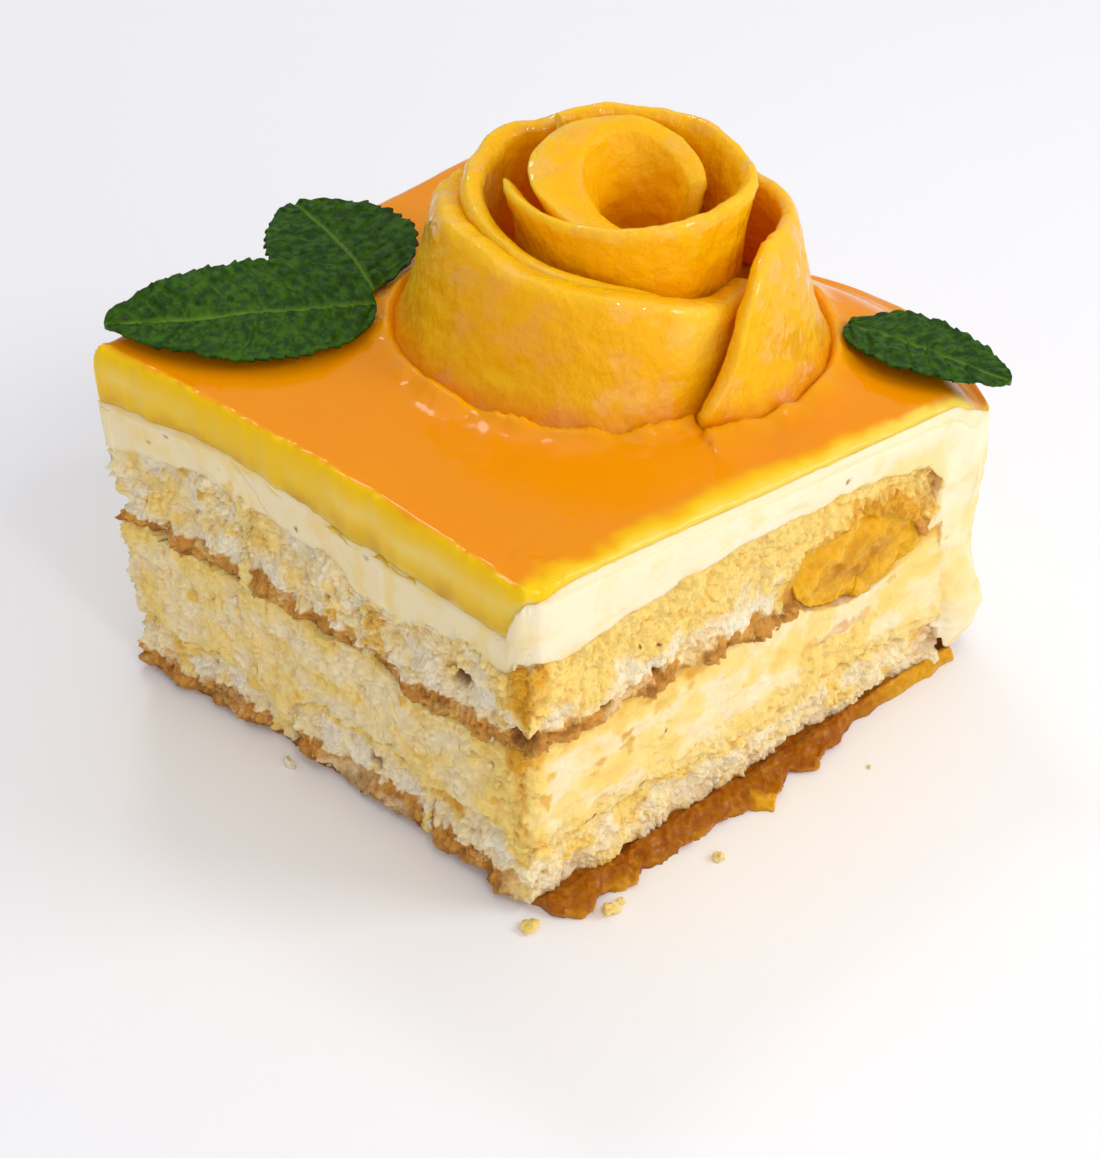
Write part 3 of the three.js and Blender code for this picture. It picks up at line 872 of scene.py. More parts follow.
WHITE_SPOTS = (
    *marks(Wall.SIDE, 3.2, 0.8, (
        (60.4, 6.0), (54.1, 7.4), (36.7, 8.4), (31.2, 8.0), (22.0, 7.0), (5.0, 8.0),
    )),
    *marks(Wall.SIDE, 2.6, 0.7, ((52.0, 33.5), (20.0, 33.4), (8.0, 33.0), (3.0, 33.4))),
    *marks(Wall.FRONT, 3.0, 0.3, ((14.0, 31.4), (20.0, 31.0), (27.0, 32.0), (33.0, 31.0), (39.0, 30.4))),
)
# Caves dug into the cut faces; the finish also darkens them as painted shade.
CAVES = (
    Mark(Wall.SIDE, 12.6, 33.6, 1.9), Mark(Wall.SIDE, 2.0, 30.6, 1.7), Mark(Wall.SIDE, 28.0, 8.4, 1.5),
    Mark(Wall.FRONT, 11.6, 30.8, 0.9), Mark(Wall.FRONT, 20.6, 30.4, 0.9),
)
SPECKS = (
    *marks(Wall.SIDE, 0.42, 1.0, ((60.7, 47.4), (39.5, 42.8))),
    *marks(Wall.SIDE, 0.5, 0.6, ((26.9, 45.0), (64.0, 45.0))),
    *marks(Wall.FRONT, 0.42, 1.0, ((17.0, 37.0), (20.0, 35.9), (22.0, 19.6), (51.0, 45.6))),
)


@dataclass(frozen=True)
class Lines:
    """How far the layers' boundaries run above or below level, at places along one cut face."""

    wall: Wall
    low: tuple[tuple[float, float], ...]
    crust: tuple[tuple[float, float], ...]
    cream: tuple[tuple[float, float], ...]
    levels: tuple[float, ...] = (2.0, 11.5, 28.2, 42.5, 47.5)

    def shift(self, along: Array, height: Array) -> Array:
        """Gives how far places move up."""
        total = np.zeros(len(along))
        lines = (np.interp(along, *np.array(line).T) for line in (self.low, self.crust, self.cream))
        knots = (total, *lines, total)
        for k, (below, above) in enumerate(itertools.pairwise(self.levels)):
            share = (height - below) / (above - below)
            here = (share >= 0) & (share < 1)
            total = np.where(here, mix(knots[k], knots[k + 1], share), total)
        return total


LINES = (
    Lines(
        Wall.FRONT,
        low=((0, -1.0), (7.5, -1.2), (14.4, -1.5), (19.2, 0), (25.8, -1.6), (32.6, -1.9), (45, -2.4),
             (57, -0.6), (64, -0.2)),
        crust=((0, 0.4), (4.8, -0.4), (8.6, 0.4), (14.3, 0.2), (20.1, -1.2), (27.5, 0), (34.5, -2.6),
               (39.8, -3.0), (45, -1.6), (49, -0.8), (60, 0)),
        cream=((0, 3.0), (4.7, 1.4), (9, 2.0), (16, 2.6), (22.5, 3.2), (30, 4.2), (38, 4.5), (43.6, 3.4),
               (49, 2.6), (56, 1.6), (62, 0.2), (67, 0.2)),
    ),
    Lines(
        Wall.SIDE,
        low=((0, 1.5), (6.5, 1.5), (15.6, 0.2), (25, 1.5), (33, -0.3), (38, 0.3), (44, -1.5), (50, -3.2),
             (57, -0.3), (61.5, -1.5), (71, -0.7)),
        crust=((0, 0.2), (1.4, -0.2), (7.8, -2.1), (14, -2.1), (20.7, -3.6), (27, -1.7), (33, -1.4),
               (37, -2.6), (45, -1.1), (56, -1.2), (64, -0.9), (72, -0.4)),
        cream=((0, -1.1), (4, -1.3), (11, -0.5), (16, -2.0), (22, -3.8), (27, -4.4), (33, -4.2), (41, -3.2),
               (46, -1.0), (49, 0.8), (56, -1.4), (62, -2.0), (69, -4.6)),
    ),
)


# Layers
@dataclass(frozen=True)
class Finger:
    """One sponge finger, by the box that it fills before the cuts."""

    node: str
    width: float
    height: float
    centre: float
    turn: float
    end: float
    level: float

    def skin(self, points: Array) -> tuple[Array, Array, Array]:
        """Gives how far places lie above the finger's underside and from its end, and how high."""
        angle = math.radians(self.turn)
        x, y = points[:, 0], points[:, 1] - self.centre
        along = x * math.cos(angle) + y * math.sin(angle)
        under = points[:, 2] - self.level
        return under, self.end - along, under / self.height


LOWER_FINGERS = (
    Finger("ladyfinger_bottom_front", 26.4, 10.0, 5.3, 0, 73, 1.5),
    Finger("ladyfinger_bottom_middle", 25.0, 10.6, 32.0, 5, 72, 1.5),
    Finger("ladyfinger_bottom_back", 27.0, 10.2, 62.4, 11, 68.5, 1.5),
)
UPPER_FINGERS = (
    Finger("ladyfinger_top_front", 34.4, 13.4, 11.0, 0, 71, 28.3),
    Finger("ladyfinger_top_middle", 20.2, 15.4, 38.6, 3, 70, 28.3),
    Finger("ladyfinger_top_back", 27.0, 15.8, 63.4, 7, 70, 28.3),
)


@dataclass
class Layers:
    """The sponge fingers and the creams, with their torn and smeared cut faces."""

    overlap: float = 0.3
    sponge_edge: float = 0.32
    cream_edge: float = 0.5
    smooth_edge: float = 0.56
    rear_edge: float = 0.9
    hidden_edge: float = 60.0
    face_depth: float = 0.9
    seen_depth: float = 2.4
    coarser: float = 2.5
    brim_round: float = 1.5
    heel_hill: tuple[float, float] = (11, 8)
    streak: Triple = (45.5, 59.5, 19.2)
    sponge: bpy.types.Material = field(default_factory=lambda: LayerFinish("sponge_crumb").material())
    cream: bpy.types.Material = field(default_factory=lambda: LayerFinish("mascarpone_cream").material())

    def fineness(self, edge: float) -> Callable[[Array], Array]:
        """Gives how long an edge may be where it is: short on the walls that show."""
        def longest(points: Array) -> Array:
            """Gives the length that an edge may have at each place."""
            depths = Depths.of(points)
            near = np.minimum(depths.front, depths.side)
            behind = np.minimum(depths.outer, depths.back) < self.seen_depth
            beyond = np.where(behind, self.rear_edge, self.hidden_edge)
            beyond = np.where(near < self.seen_depth, self.coarser * edge, beyond)
            return np.where(near < self.face_depth, edge, beyond)
        return longest

    @staticmethod
    def on_wall(wall: Wall, points: Array, depths: Depths) -> tuple[Array, Array]:
        """Gives how far along a wall places lie, and how much they belong to it."""
        if wall is Wall.FRONT:
            return points[:, 0], 1 - ease(depths.front, *FACE_FADE)
        return depths.front, (1 - ease(depths.side, *FACE_FADE)) * ease(depths.front, -0.5, 0.8)

    def marked(self, group: Sequence[Mark], points: Array, depths: Depths, ragged: float = 0.5) -> Array:
        """Gives how strongly places are marked by a group of marks."""
        found = np.zeros(len(points))
        waver = ragged * fractal(points, 1.5, 3, 15)
        for mark in group:
            along, share = self.on_wall(mark.wall, points, depths)
            away = np.hypot(along - mark.along, points[:, 2] - mark.height) * (1 + waver)
            found = np.maximum(found, mark.strength * share * ease(away, mark.size, 0.45 * mark.size))
        return found

    def warped(self, points: Array, depths: Depths) -> Array:
        """Moves all layers up and down together near the walls, so that their lines waver."""
        moved = points.copy()
        total = np.zeros(len(points))
        weight = np.full(len(points), 1e-6)
        for lines in LINES:
            along, share = self.on_wall(lines.wall, points, depths)
            total += share * share * lines.shift(along, points[:, 2])
            weight += share
        near = 1 - ease(depths.nearest(), 2.0, 4.0)
        near *= ease(points[:, 2], 2.0, 5.0) * (1 - ease(points[:, 2], 44, 47))
        uneven = 0.4 * ripple(points, 3.0, 5) + 0.3 * ripple(points, 1.2, 6)
        moved[:, 2] += total / weight + near * uneven
        return moved

    def smoothness(self, points: Array, depths: Depths) -> Array:
        """Gives 1 where only smooth cream shows on the side face, above the sponge."""
        _, side = self.on_wall(Wall.SIDE, points, depths)
        return 1 - side * ease(points[:, 2] + 1.2 * fractal(points, 3.0, 3, 16), 42.8, 41.4)

    def relief(self, points: Array, crumb: Array, lumpy: Array | float) -> tuple[Array, Array]:
        """The uneven face of torn crumb and smeared cream.

        Args:
            points: Places on the wall.
            crumb: How much each place is crumb rather than cream.
            lumpy: How lumpy the cream is.

        Returns:
            How far each place goes outwards, and how deep in a pore or hollow it lies, which is darkened as
            painted shade.
        """
        holes = ease(bubbles(points, 2.1, 3), 0.34, 0.12) * ease(ripple(points, 4.0, 9), 0.0, 0.5)
        broad, small = np.abs(ripple(points, 2.5, 1)), np.abs(ripple(points, 1.05, 4))
        tufts = 0.7 * broad + 0.75 * small + 0.5 * np.abs(ripple(points, 0.62, 8))
        torn = 1.15 * tufts + 0.85 * fractal(points, 4.4, 3, 10) - 0.78 - 0.8 * holes
        smooth = 0.16 * fractal(points * (1, 1, 1.6), 5.0, 2, 2)
        lumps = 0.5 * fractal(points * (0.8, 0.8, 1.3), 2.6, 4, 7)
        # Painted shade: the valleys and holes of the torn crumb, darkened in the finish.
        hollow = np.maximum(0.55 * ease(broad, 0.12, 0.0) + 0.3 * ease(small, 0.1, 0.0), 0.8 * holes)
        return mix(smooth + lumpy * lumps, torn, crumb), crumb * hollow

    def dress(
        self, node: str, name: str, edge: float, look: Callable[[Array, Array, Depths], dict[str, Array]],
        material: bpy.types.Material,
    ) -> None:
        """Builds one layer with its face.

        Args:
            node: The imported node.
            name: Name of the piece.
            edge: How long an edge may be where it shows.
            look: Gives crumb, lumpy and the colours' numbers for places before and after the shift.
            material: The layer's finish.
        """
        shell = Shell.of_node(node).grown(self.overlap).refined(self.fineness(edge))
        raw = shell.points
        depths = Depths.of(raw)
        moved = self.warped(raw, depths)
        values = look(raw, moved, depths)
        push, hollow = self.relief(moved, values["crumb"], values.pop("lumpy"))
        caves = self.marked(CAVES, moved, depths)
        push = push - 1.4 * caves + values.pop("bulge")
        shell.points = self.warped(depths.pushed(raw, push, self.seen_depth), depths)
        shell.points[:, 2] += values.pop("lift", 0.0)
        shell.points[:, 0] += values.pop("stretch", 0.0)
        white = self.marked(WHITE_SPOTS, moved, depths)
        brown = self.marked(BROWN_SPOTS, moved, depths, 0.9)
        amber = np.maximum(self.marked(AMBER_SPOTS, moved, depths), 0.75 * brown)
        values["soak"] = np.maximum(values["soak"] * (1 - white), amber)
        values["crust"] = np.maximum(values["crust"], 0.4 * brown)
        # Painted shade: the caves are darkened through the wet and hollow marks, beside the real dark
        # specks.
        dark = np.maximum(0.75 * caves, self.marked(SPECKS, moved, depths, 0.0))
        values["wet"] = np.maximum(values["wet"], dark)
        values["hollow"] = np.maximum(hollow, caves)
        shell.values = values
        make_piece(name, shell, material, (node,))

    def finger(self, finger: Finger) -> None:
        """Builds and dresses one sponge finger."""
        lower = finger.level < 10

        def look(raw: Array, moved: Array, depths: Depths) -> dict[str, Array]:
            """Gives the numbers of each place, before and after the shift of the layers."""
            under, end, height = finger.skin(raw)
            ragged = fractal(raw, 1.7, 4, 21)
            front, side = (self.on_wall(wall, raw, depths)[1] for wall in Wall)
            base = (3.2 if lower else 2.9) + 1.1 * side
            worn = np.clip(0.8 + 0.7 * ripple(raw, 3.4, 23), 0.2, 1.1)
            crust = ease(under + 1.7 * ragged, base, base - 1.3) * worn
            if lower:
                crust = crust * (1 - 0.8 * front)
            crust = np.maximum(crust, 0.5 * ease(end + 1.8 * ragged, 7.5, 3.6) * ease(height, 0.15, 0.45))
            yellow = ease(height + 0.3 * fractal(raw, 4.0, 3, 22), 0.18, 0.55)
            patchy = fractal(raw, 3.4, 3, 24)
            behind = 1 - ease(depths.back, *FACE_FADE)
            soak = front * mix(0.08, 0.5, yellow)
            soak = soak + np.maximum(side, behind) * (0.3 + 0.3 * patchy) * mix(0.5, 1, yellow)
            soak = soak + 0.3 * side * ease(depths.front, 9.0, 3.0)
            soak = np.maximum(soak, 0.55 * ease(under + 1.3 * ragged, 5.0, 1.6) * (0.8 + 0.5 * patchy))
            if lower:
                soak = 0.22 + 0.36 * ease(patchy, 0.0, 0.8) + 0.3 * ease(height + 0.2 * patchy, 0.7, 1.05)
            middle_x, middle_z = POCKET_CENTRE
            away = np.hypot((moved[:, 0] - middle_x) / 1.35, moved[:, 2] - middle_z) + 1.6 * ragged
            soak = np.maximum(soak, front * ease(away, 14.0, 7.5))
            wet = (0.5 * (1 - front) if lower else 0.1) * ease(under + 0.9 * ragged, 1.3, 0.2)
            whole = np.ones(len(raw))
            rim = 0.9 * side * ease(under, 2.8, 0.4)
            rim = rim * ease(depths.back, 0.0, 5.0) * ease(depths.front, 0.0, 4.0)
            return {
                "crumb": whole, "lumpy": whole, "soak": soak, "crust": crust, "wet": wet,
                "bulge": 0.75 + 0.6 * self.heel(raw, depths) + lower * rim,
                "stretch": lower * 1.5 * ease(depths.outer, 11.0, 7.5),
            }

        self.dress(finger.node, finger.node + "_crumb", self.sponge_edge, look, self.sponge)

    def middle_cream(self) -> None:
        """Builds and dresses the cream between the two layers of fingers."""
        def look(raw: Array, moved: Array, depths: Depths) -> dict[str, Array]:
            """Gives the numbers of each place, before and after the shift of the layers."""
            front, side = (self.on_wall(wall, raw, depths)[1] for wall in Wall)
            ragged = fractal(raw, 1.8, 3, 31)
            x, z = moved[:, 0], moved[:, 2]
            start, stop, level = self.streak
            along = x + 2 * ragged
            within = ease(along, start - 1, start + 1) * ease(along, stop + 1, stop - 1) * front
            below = within * ease(z + ragged, level, level - 1.2)
            low = front * ease(z + 1.6 * ragged, 15.5, 12.5)
            behind = 1 - ease(depths.back, *FACE_FADE)
            crumb = np.maximum.reduce([0.75 * side, 0.6 * behind, 0.8 * below, 0.75 * low, 0.25 * front])
            patches = self.patches(raw)
            near_crust = ease(z + ragged, 24.6, 27.6)
            soak = front * (0.2 + 0.42 * patches + 0.4 * near_crust)
            soak = soak + np.maximum(side, behind) * (0.24 + 0.26 * patches + 0.15 * near_crust)
            soak = soak + 0.25 * side * ease(depths.front, 13.0, 4.0)
            return {
                "crumb": crumb,
                "lumpy": np.ones(len(raw)),
                "soak": np.maximum.reduce([soak, 0.5 * below, 0.4 * low]),
                "crust": within * 0.5 * ease(np.abs(z - level + 0.8 * ragged), 1.1, 0.3),
                "wet": 0 * x,
                "bulge": 0.42 + self.heel(raw, depths),
                "stretch": 3.2 * ease(depths.outer, 12.5, 7.5),
            }

        self.dress("cream_middle", "cream_middle_smear", self.cream_edge, look, self.cream)

    def heel(self, points: Array, depths: Depths) -> Array:
        """How far the layers swell forwards at the outer end, low down."""
        return 1.5 * hill(points[:, 2], *self.heel_hill) * ease(depths.outer, 17.0, 7.5)

    @staticmethod
    def patches(points: Array) -> Array:
        """Gives 1 where the cream is patchily soaked and 0 where it is plain."""
        return ease(fractal(points, 4.0, 4, 32), -0.5, 0.8)

    def top_cream(self) -> None:
        """Builds and dresses the smooth upper cream, which also runs down the outer side."""
        def look(raw: Array, moved: Array, depths: Depths) -> dict[str, Array]:
            """Gives the numbers of each place, before and after the shift of the layers."""
            u, v = SLICE.locate(raw)
            z = moved[:, 2]
            front, side = (self.on_wall(wall, raw, depths)[1] for wall in Wall)
            sheet = SLICE.glaze_top(u, v) - SLICE.cream_top(u, v)
            below = SLICE.cream_top(u, v) - raw[:, 2]
            ragged = fractal(raw, 2.6, 3, 41)
            crumb = 1 - self.smoothness(raw, depths)
            low = 1 - ease(z, 34, 42)
            soak = np.maximum.reduce([
                0.16 * ease(below + 0.5 * ragged, 1.2, 0.0),
                0.36 * front * ease(z + 1.2 * ragged, 45.5, 41.8) * ease(depths.outer, 3, 8),
                0.4 * crumb, low * (0.1 + 0.3 * self.patches(raw)),
                0.06 + 0.14 * side + 0.16 * ease(ragged, -0.1, 0.6),
            ])
            corner = hill(raw[:, 0], 5.0, 4.0) * hill(z, 47.0, 3.5) * front
            lift = (sheet - 0.2) * ease(below, 4.5, 0.3) + SLICE.lip_fade(u, v) * ease(below, 5.0, 0.3)
            down, inwards = rounded_edge(below, depths.front, self.brim_round)
            bulge = 0.12 + 0.3 * corner + 0.2 * front * hill(z, 46, 3) + 0.3 * low
            bulge = bulge - inwards
            bulge = bulge - 0.9 * front * hill(raw[:, 2], *self.heel_hill) * ease(depths.outer, 1.5, 5.5)
            beyond = ease(depths.outer, 2.4, 0.6)
            bulge = bulge + 0.7 * beyond * low * fractal(raw, 5.5, 2, 44)
            bulge = bulge + 0.2 * side * ease(depths.front, 6.0, 1.0) * ease(below, 6.0, 2.0)
            return {
                "crumb": crumb, "lumpy": (0.08 + 0.92 * low) * (1 - 0.75 * beyond), "soak": soak,
                "crust": 0 * z, "wet": 0 * z,
                "bulge": bulge, "lift": lift * ease(depths.front, 1.5, 0.6) - down,
            }

        self.dress("cream_top", "cream_top_smooth", self.smooth_edge, look, self.cream)

    def build(self) -> None:
        """Builds all layers."""
        for finger in (*LOWER_FINGERS, *UPPER_FINGERS):
            self.finger(finger)
        self.middle_cream()
        self.top_cream()


# Puree
@dataclass
class Puree:
    """The glossy puree squeezed out under the slice, and the pocket at a finger's end."""

    fine: float = 0.45
    coarse: float = 0.9
    hidden: float = 40.0
    pocket_fine: float = 0.42
    pocket_hidden: float = 4.0
    material: bpy.types.Material = field(default_factory=lambda: PureeFinish().material())

    def foot(self) -> None:
        """Builds the ragged foot."""
        def longest(points: Array) -> Array:
            """Gives the length that an edge may have at each place."""
            depths = Depths.of(points)
            near = depths.front < 2.5
            edge = depths.nearest() < 2.0
            return np.where(near, self.fine, np.where(edge, self.coarse, self.hidden))

        shell = Shell.of_node("mango_puree_base").grown(0.12).refined(longest).rounded(10)
        raw = shell.points
        depths = Depths.of(raw)
        above = ease(raw[:, 2], 0.1, 0.9)
        outside = ease(depths.front, 1.0, -1.0)
        lumps = 0.36 * fractal(raw, 1.6, 3, 51) + 0.34 * ease(bubbles(raw, 1.2, 52), 0.65, 0.1)
        edge = 1.1 * fractal(raw, 2.4, 4, 53) * ease(depths.front, -1.0, -3.0)
        shell.points = depths.pushed(raw, 0.5 * fractal(raw, 1.7, 3, 54) * (1 - outside), 2.0)
        shell.points[:, 1] -= edge
        shell.points[:, 2] = np.maximum(0.02, shell.points[:, 2] + above * outside * lumps)
        reach = -raw[:, 1] / 6
        right = ease(raw[:, 0], 56, 68)
        thin = 0.7 * ease(reach + 0.25 * fractal(raw, 2.0, 2, 55), 0.6, 1.1) * outside
        shell.values = {"thin": 0.06 + np.maximum(thin, 0.6 * right * outside)}
        make_piece("puree_foot", shell, self.material, ("mango_puree_base",))

    def pocket(self) -> None:
        """Builds the pocket."""
        def longest(points: Array) -> Array:
            """Gives the length that an edge may have at each place."""
            near = Depths.of(points).front < 2.6
            return np.where(near, self.pocket_fine, self.pocket_hidden)

        shell = Shell.of_node("mango_puree_pocket").grown(0.3).refined(longest)
        raw = shell.points
        depths = Depths.of(raw)
        from_middle = np.hypot(*((raw[:, (0, 2)] - POCKET_CENTRE) / POCKET_REACH).T)
        relief = 0.45 + 0.9 * fractal(raw, 2.4, 4, 61) - 0.15 * ease(from_middle, 0.5, 1.0)
        shell.points = depths.pushed(raw, relief, 2.6)
        shell.values = {"thin": 0.62 + 0.4 * ease(from_middle, 0.3, 0.8) + 0.3 * fractal(raw, 2.6, 3, 63)}
        make_piece("puree_pocket", shell, self.material, ("mango_puree_pocket",))

    def build(self) -> None:
        """Builds both."""
        self.foot()
        self.pocket()


# Rose
@dataclass(frozen=True)
class Petal:
    """One slice of mango: stations of angle, foot radius, rim radius and height.

    The fill says how much thicker the slice grows inwards towards its rim: everywhere, and how
    much more round which angle.
    """

    node: str
    thickness: float
    flare: float
    skirt: float
    fill: Triple
    stations: tuple[tuple[float, float, float, float], ...]

    def ends(self) -> tuple[float, float]:
        """The angles of its two ends."""
        return self.stations[0][0], self.stations[-1][0]

    def read(self, angles: Array) -> Array:
        """Gives foot radius, rim radius and height at angles, on smooth curves."""
        rows = np.array(self.stations)
        knots = rows[:, 0]
        slopes = np.gradient(rows[:, 1:], knots, axis=0)
        at = np.clip(np.searchsorted(knots, angles, side="right") - 1, 0, len(knots) - 2)
        span = knots[at + 1] - knots[at]
        t = ((angles - knots[at]) / span)[:, None]
        span = span[:, None]
        start, end = rows[at, 1:], rows[at + 1, 1:]
        return (
            (2 * t**3 - 3 * t**2 + 1) * start + (t**3 - 2 * t**2 + t) * span * slopes[at]
            + (3 * t**2 - 2 * t**3) * end + (t**3 - t**2) * span * slopes[at + 1]
        )


PETALS = (
    Petal("rose_petal_inner", 2.2, 2.6, 0.0, (1.4, 3.6, 150.0), (
        (-22, 6.9, 10, 21.6), (20, 6.9, 11.6, 24), (70, 6.9, 11.8, 25), (108, 7, 12.2, 24.5),
        (140, 7, 13, 22.8), (175, 7, 11.6, 20.6), (212, 7, 9, 19), (262, 6.9, 8.2, 18),
        (305, 6.6, 7.6, 17.5),
    )),
    Petal("rose_petal_wrapped", 2.8, 4.5, 0.0, (0.0, 0.0, 0.0), (
        (138, 13.6, 16.2, 20.5), (175, 12.5, 14.6, 21.2), (210, 12, 12.7, 21.8), (238, 11.6, 11.8, 22.2),
        (280, 12, 12.6, 23), (302, 12.6, 14.2, 24), (322, 13, 15.2, 24.4), (346, 13.4, 15.2, 24.8),
        (372, 13.6, 14.9, 25.1), (404, 13.6, 14.7, 25.3), (424, 13.6, 14.9, 25.3), (449, 13.8, 15.4, 24.3),
    )),
    Petal("rose_petal_left", 2.8, 1.0, 0.0, (0.8, 0.0, 0.0), (
        (80, 19, 18.8, 22.2), (100, 20.6, 21.2, 21.4), (118, 20.9, 21.4, 20.5), (140, 20.6, 20.6, 19.3),
        (160, 19.8, 19.3, 18), (178, 18.8, 18.2, 16.8), (197, 18, 17.3, 16.1), (215, 16.9, 16.5, 15.7),
        (236, 15.8, 15.8, 14.9), (256, 15.5, 15.4, 12.6), (270, 15.4, 15.2, 11.0),
    )),
    Petal("rose_petal_front", 2.4, 0.85, 1.2, (2.3, 0.4, 240.0), (
        (118, 26.2, 24.2, 16.2), (133, 28.4, 24.7, 17), (150, 30, 24, 17.6), (168, 30, 22.8, 17.6),
        (185, 29.2, 21.8, 17), (203, 27.6, 20.6, 16.4), (227, 25.2, 19.3, 16.2), (246, 22.1, 19, 15),
        (264, 20.4, 18, 13.4), (282, 19.6, 17, 12.4), (298, 19.4, 16.4, 12.2),
    )),
    Petal("rose_petal_right", 2.4, 0.8, 0.9, (0.5, 0.0, 0.0), (
        (250, 24.9, 25.6, 2.4), (258, 25.1, 24.4, 7), (266, 25.2, 22.6, 12.6), (275, 25.4, 20.8, 16.4),
        (286, 25.5, 19.6, 18.6), (300, 25.8, 19.2, 19.2), (318, 25.9, 19.9, 18.9), (338, 25.4, 20.6, 18.4),
        (356, 25, 20.7, 18.2), (382, 24.6, 20.4, 18.2), (406, 24, 19.8, 17.8),
    )),
)


@dataclass
class Rose:
    """The rose of mango slices on the glaze."""

    axis: tuple[float, float] = (47.5, 38.0)
    sunk: float = 0.5
    step: float = 1.15
    side_points: int = 42
    rim_points: int = 14
    foot_points: int = 5
    hollow: float = 12.0
    pale_spots: tuple[tuple[float, ...], ...] = ((42.0, 18.8, 62.0, 6.5, 0.8), (30.0, 53.6, 63.0, 5.0, 0.5))
    material: bpy.types.Material = field(default_factory=lambda: MangoFinish().material())

    def petal(self, petal: Petal, seed: int) -> None:
        """Builds one slice.

        Args:
            petal: Its stations and thickness.
            seed: Which waviness it has.
        """
        first, last = petal.ends()
        angles = np.linspace(first, last, int((last - first) / self.step))
        foot, rim, height = petal.read(angles).T
        ends = np.minimum(angles - first, last - angles) * np.pi / 180 * foot
        body = petal.thickness * mix(0.72, 1.0, ease(ends, 0, 1.6))
        lip = 0.5 * petal.thickness
        up = np.linspace(0, 1, self.side_points) ** 0.9
        bend = np.linspace(0, np.pi, self.rim_points)[1:-1]
        flat = np.linspace(-1, 1, self.foot_points)[1:-1]
        rise = np.concatenate([up, np.ones_like(bend), up[::-1], np.zeros_like(flat)])
        dome = np.concatenate([0 * up, np.sin(bend), 0 * up, 0 * flat])
        across = np.concatenate([np.ones_like(up), np.cos(bend), -np.ones_like(up), flat])
        climb = rise * (height[:, None] - lip) + dome * lip
        share = climb / height[:, None]
        turn = np.radians(angles)[:, None]
        key = np.stack(np.broadcast_arrays(foot[:, None] * turn, climb, float(seed)), -1)
        wave = fractal(key, 6.5, 2, seed) * 0.5 * share
        crinkle = fractal(key, 1.5, 3, seed + 1) * 0.16
        thin = body[:, None] * (1 - 0.3 * share**6)
        spread = petal.skirt * (1 - np.clip(share, 0, 1)) ** 5
        radius = mix(foot[:, None], rim[:, None], np.abs(share) ** petal.flare) + spread
        radius = radius + across * thin / 2 + wave + crinkle
        always, most, middle = petal.fill
        fill = always + most * hill(angles, middle, 60.0)[:, None]
        radius = radius - fill * np.maximum(-across, 0) * ease(share, 0.25, 0.85)
        x = self.axis[0] + radius * np.cos(turn)
        y = self.axis[1] + radius * np.sin(turn)
        notch = 0.45 * fractal(key * (1, 0, 1), 4.0, 3, seed + 2) * share**4
        z = SLICE.slope(x, y) - self.sunk + climb + (wave * 0.4 + notch) + self.sunk * share
        shell = lofted(np.stack([x, y, z], -1))
        inside = ease(-across, 0, 0.5)
        low = ease(share, 0.95, 0.2)
        # Painted shade low on the inner side of each slice, slightly deeper orange low down all round, and
        # deeper orange outside near the foot.
        deep = (0.7 * inside * low + 0.12 * low + 0.9 * ease(climb, 5.0, 0.8) * (1 - inside)).ravel()
        pale = (0.3 * ease(share, 0.9, 1.0) * (1 - inside)).ravel()
        pale = np.maximum(pale, self.pale_spot(shell.points[:-2]))
        shell.values = {"deep": np.append(deep, (0, 0)), "pale": np.append(pale, (0, 0))}
        make_piece(petal.node + "_slice", shell, self.material, (petal.node,))

    def pale_spot(self, points: Array) -> Array:
        """The pale patches on the outer slices."""
        found = np.zeros(len(points))
        for x, y, z, size, share in self.pale_spots:
            away = np.linalg.norm(points - (x, y, z), axis=1)
            found = np.maximum(found, share * ease(away, size, size * 0.2))
        return found

    def outline(self, x: Array, y: Array) -> Array:
        """How far places on the glaze lie outside the foot of the outer slices."""
        angle = np.degrees(np.arctan2(y - self.axis[1], x - self.axis[0]))
        distance = np.hypot(x - self.axis[0], y - self.axis[1])
        feet = []
        for petal in PETALS[2:]:
            first, last = petal.ends()
            turned = np.mod(angle - first, 360) + first
            foot = petal.read(np.clip(turned, first, last))[:, 0] + petal.skirt + petal.thickness / 2
            feet.append(np.where(turned <= last, foot, self.hollow))
        return distance - np.maximum.reduce(feet)

    def build(self) -> None:
        """Builds all slices."""
        for seed, petal in enumerate(PETALS):
            self.petal(petal, 100 + 10 * seed)


# Glaze
@dataclass(frozen=True)
class Spread:
    """The grid of the glaze: where each point lies from above, how far up a wall and down the skirt."""

    u: Array
    v: Array
    rise: Array
    down: Array
    x: Array
    y: Array
    away: Array

    def flat(self) -> Array:
        """The places, all at height 0."""
        return np.stack([self.x, self.y, np.zeros_like(self.x)], -1)

    def depths(self) -> tuple[Array, Array]:
        """The depths behind the front face and behind the side face."""
        return self.v * SLICE.side_length, self.u * SLICE.front_length


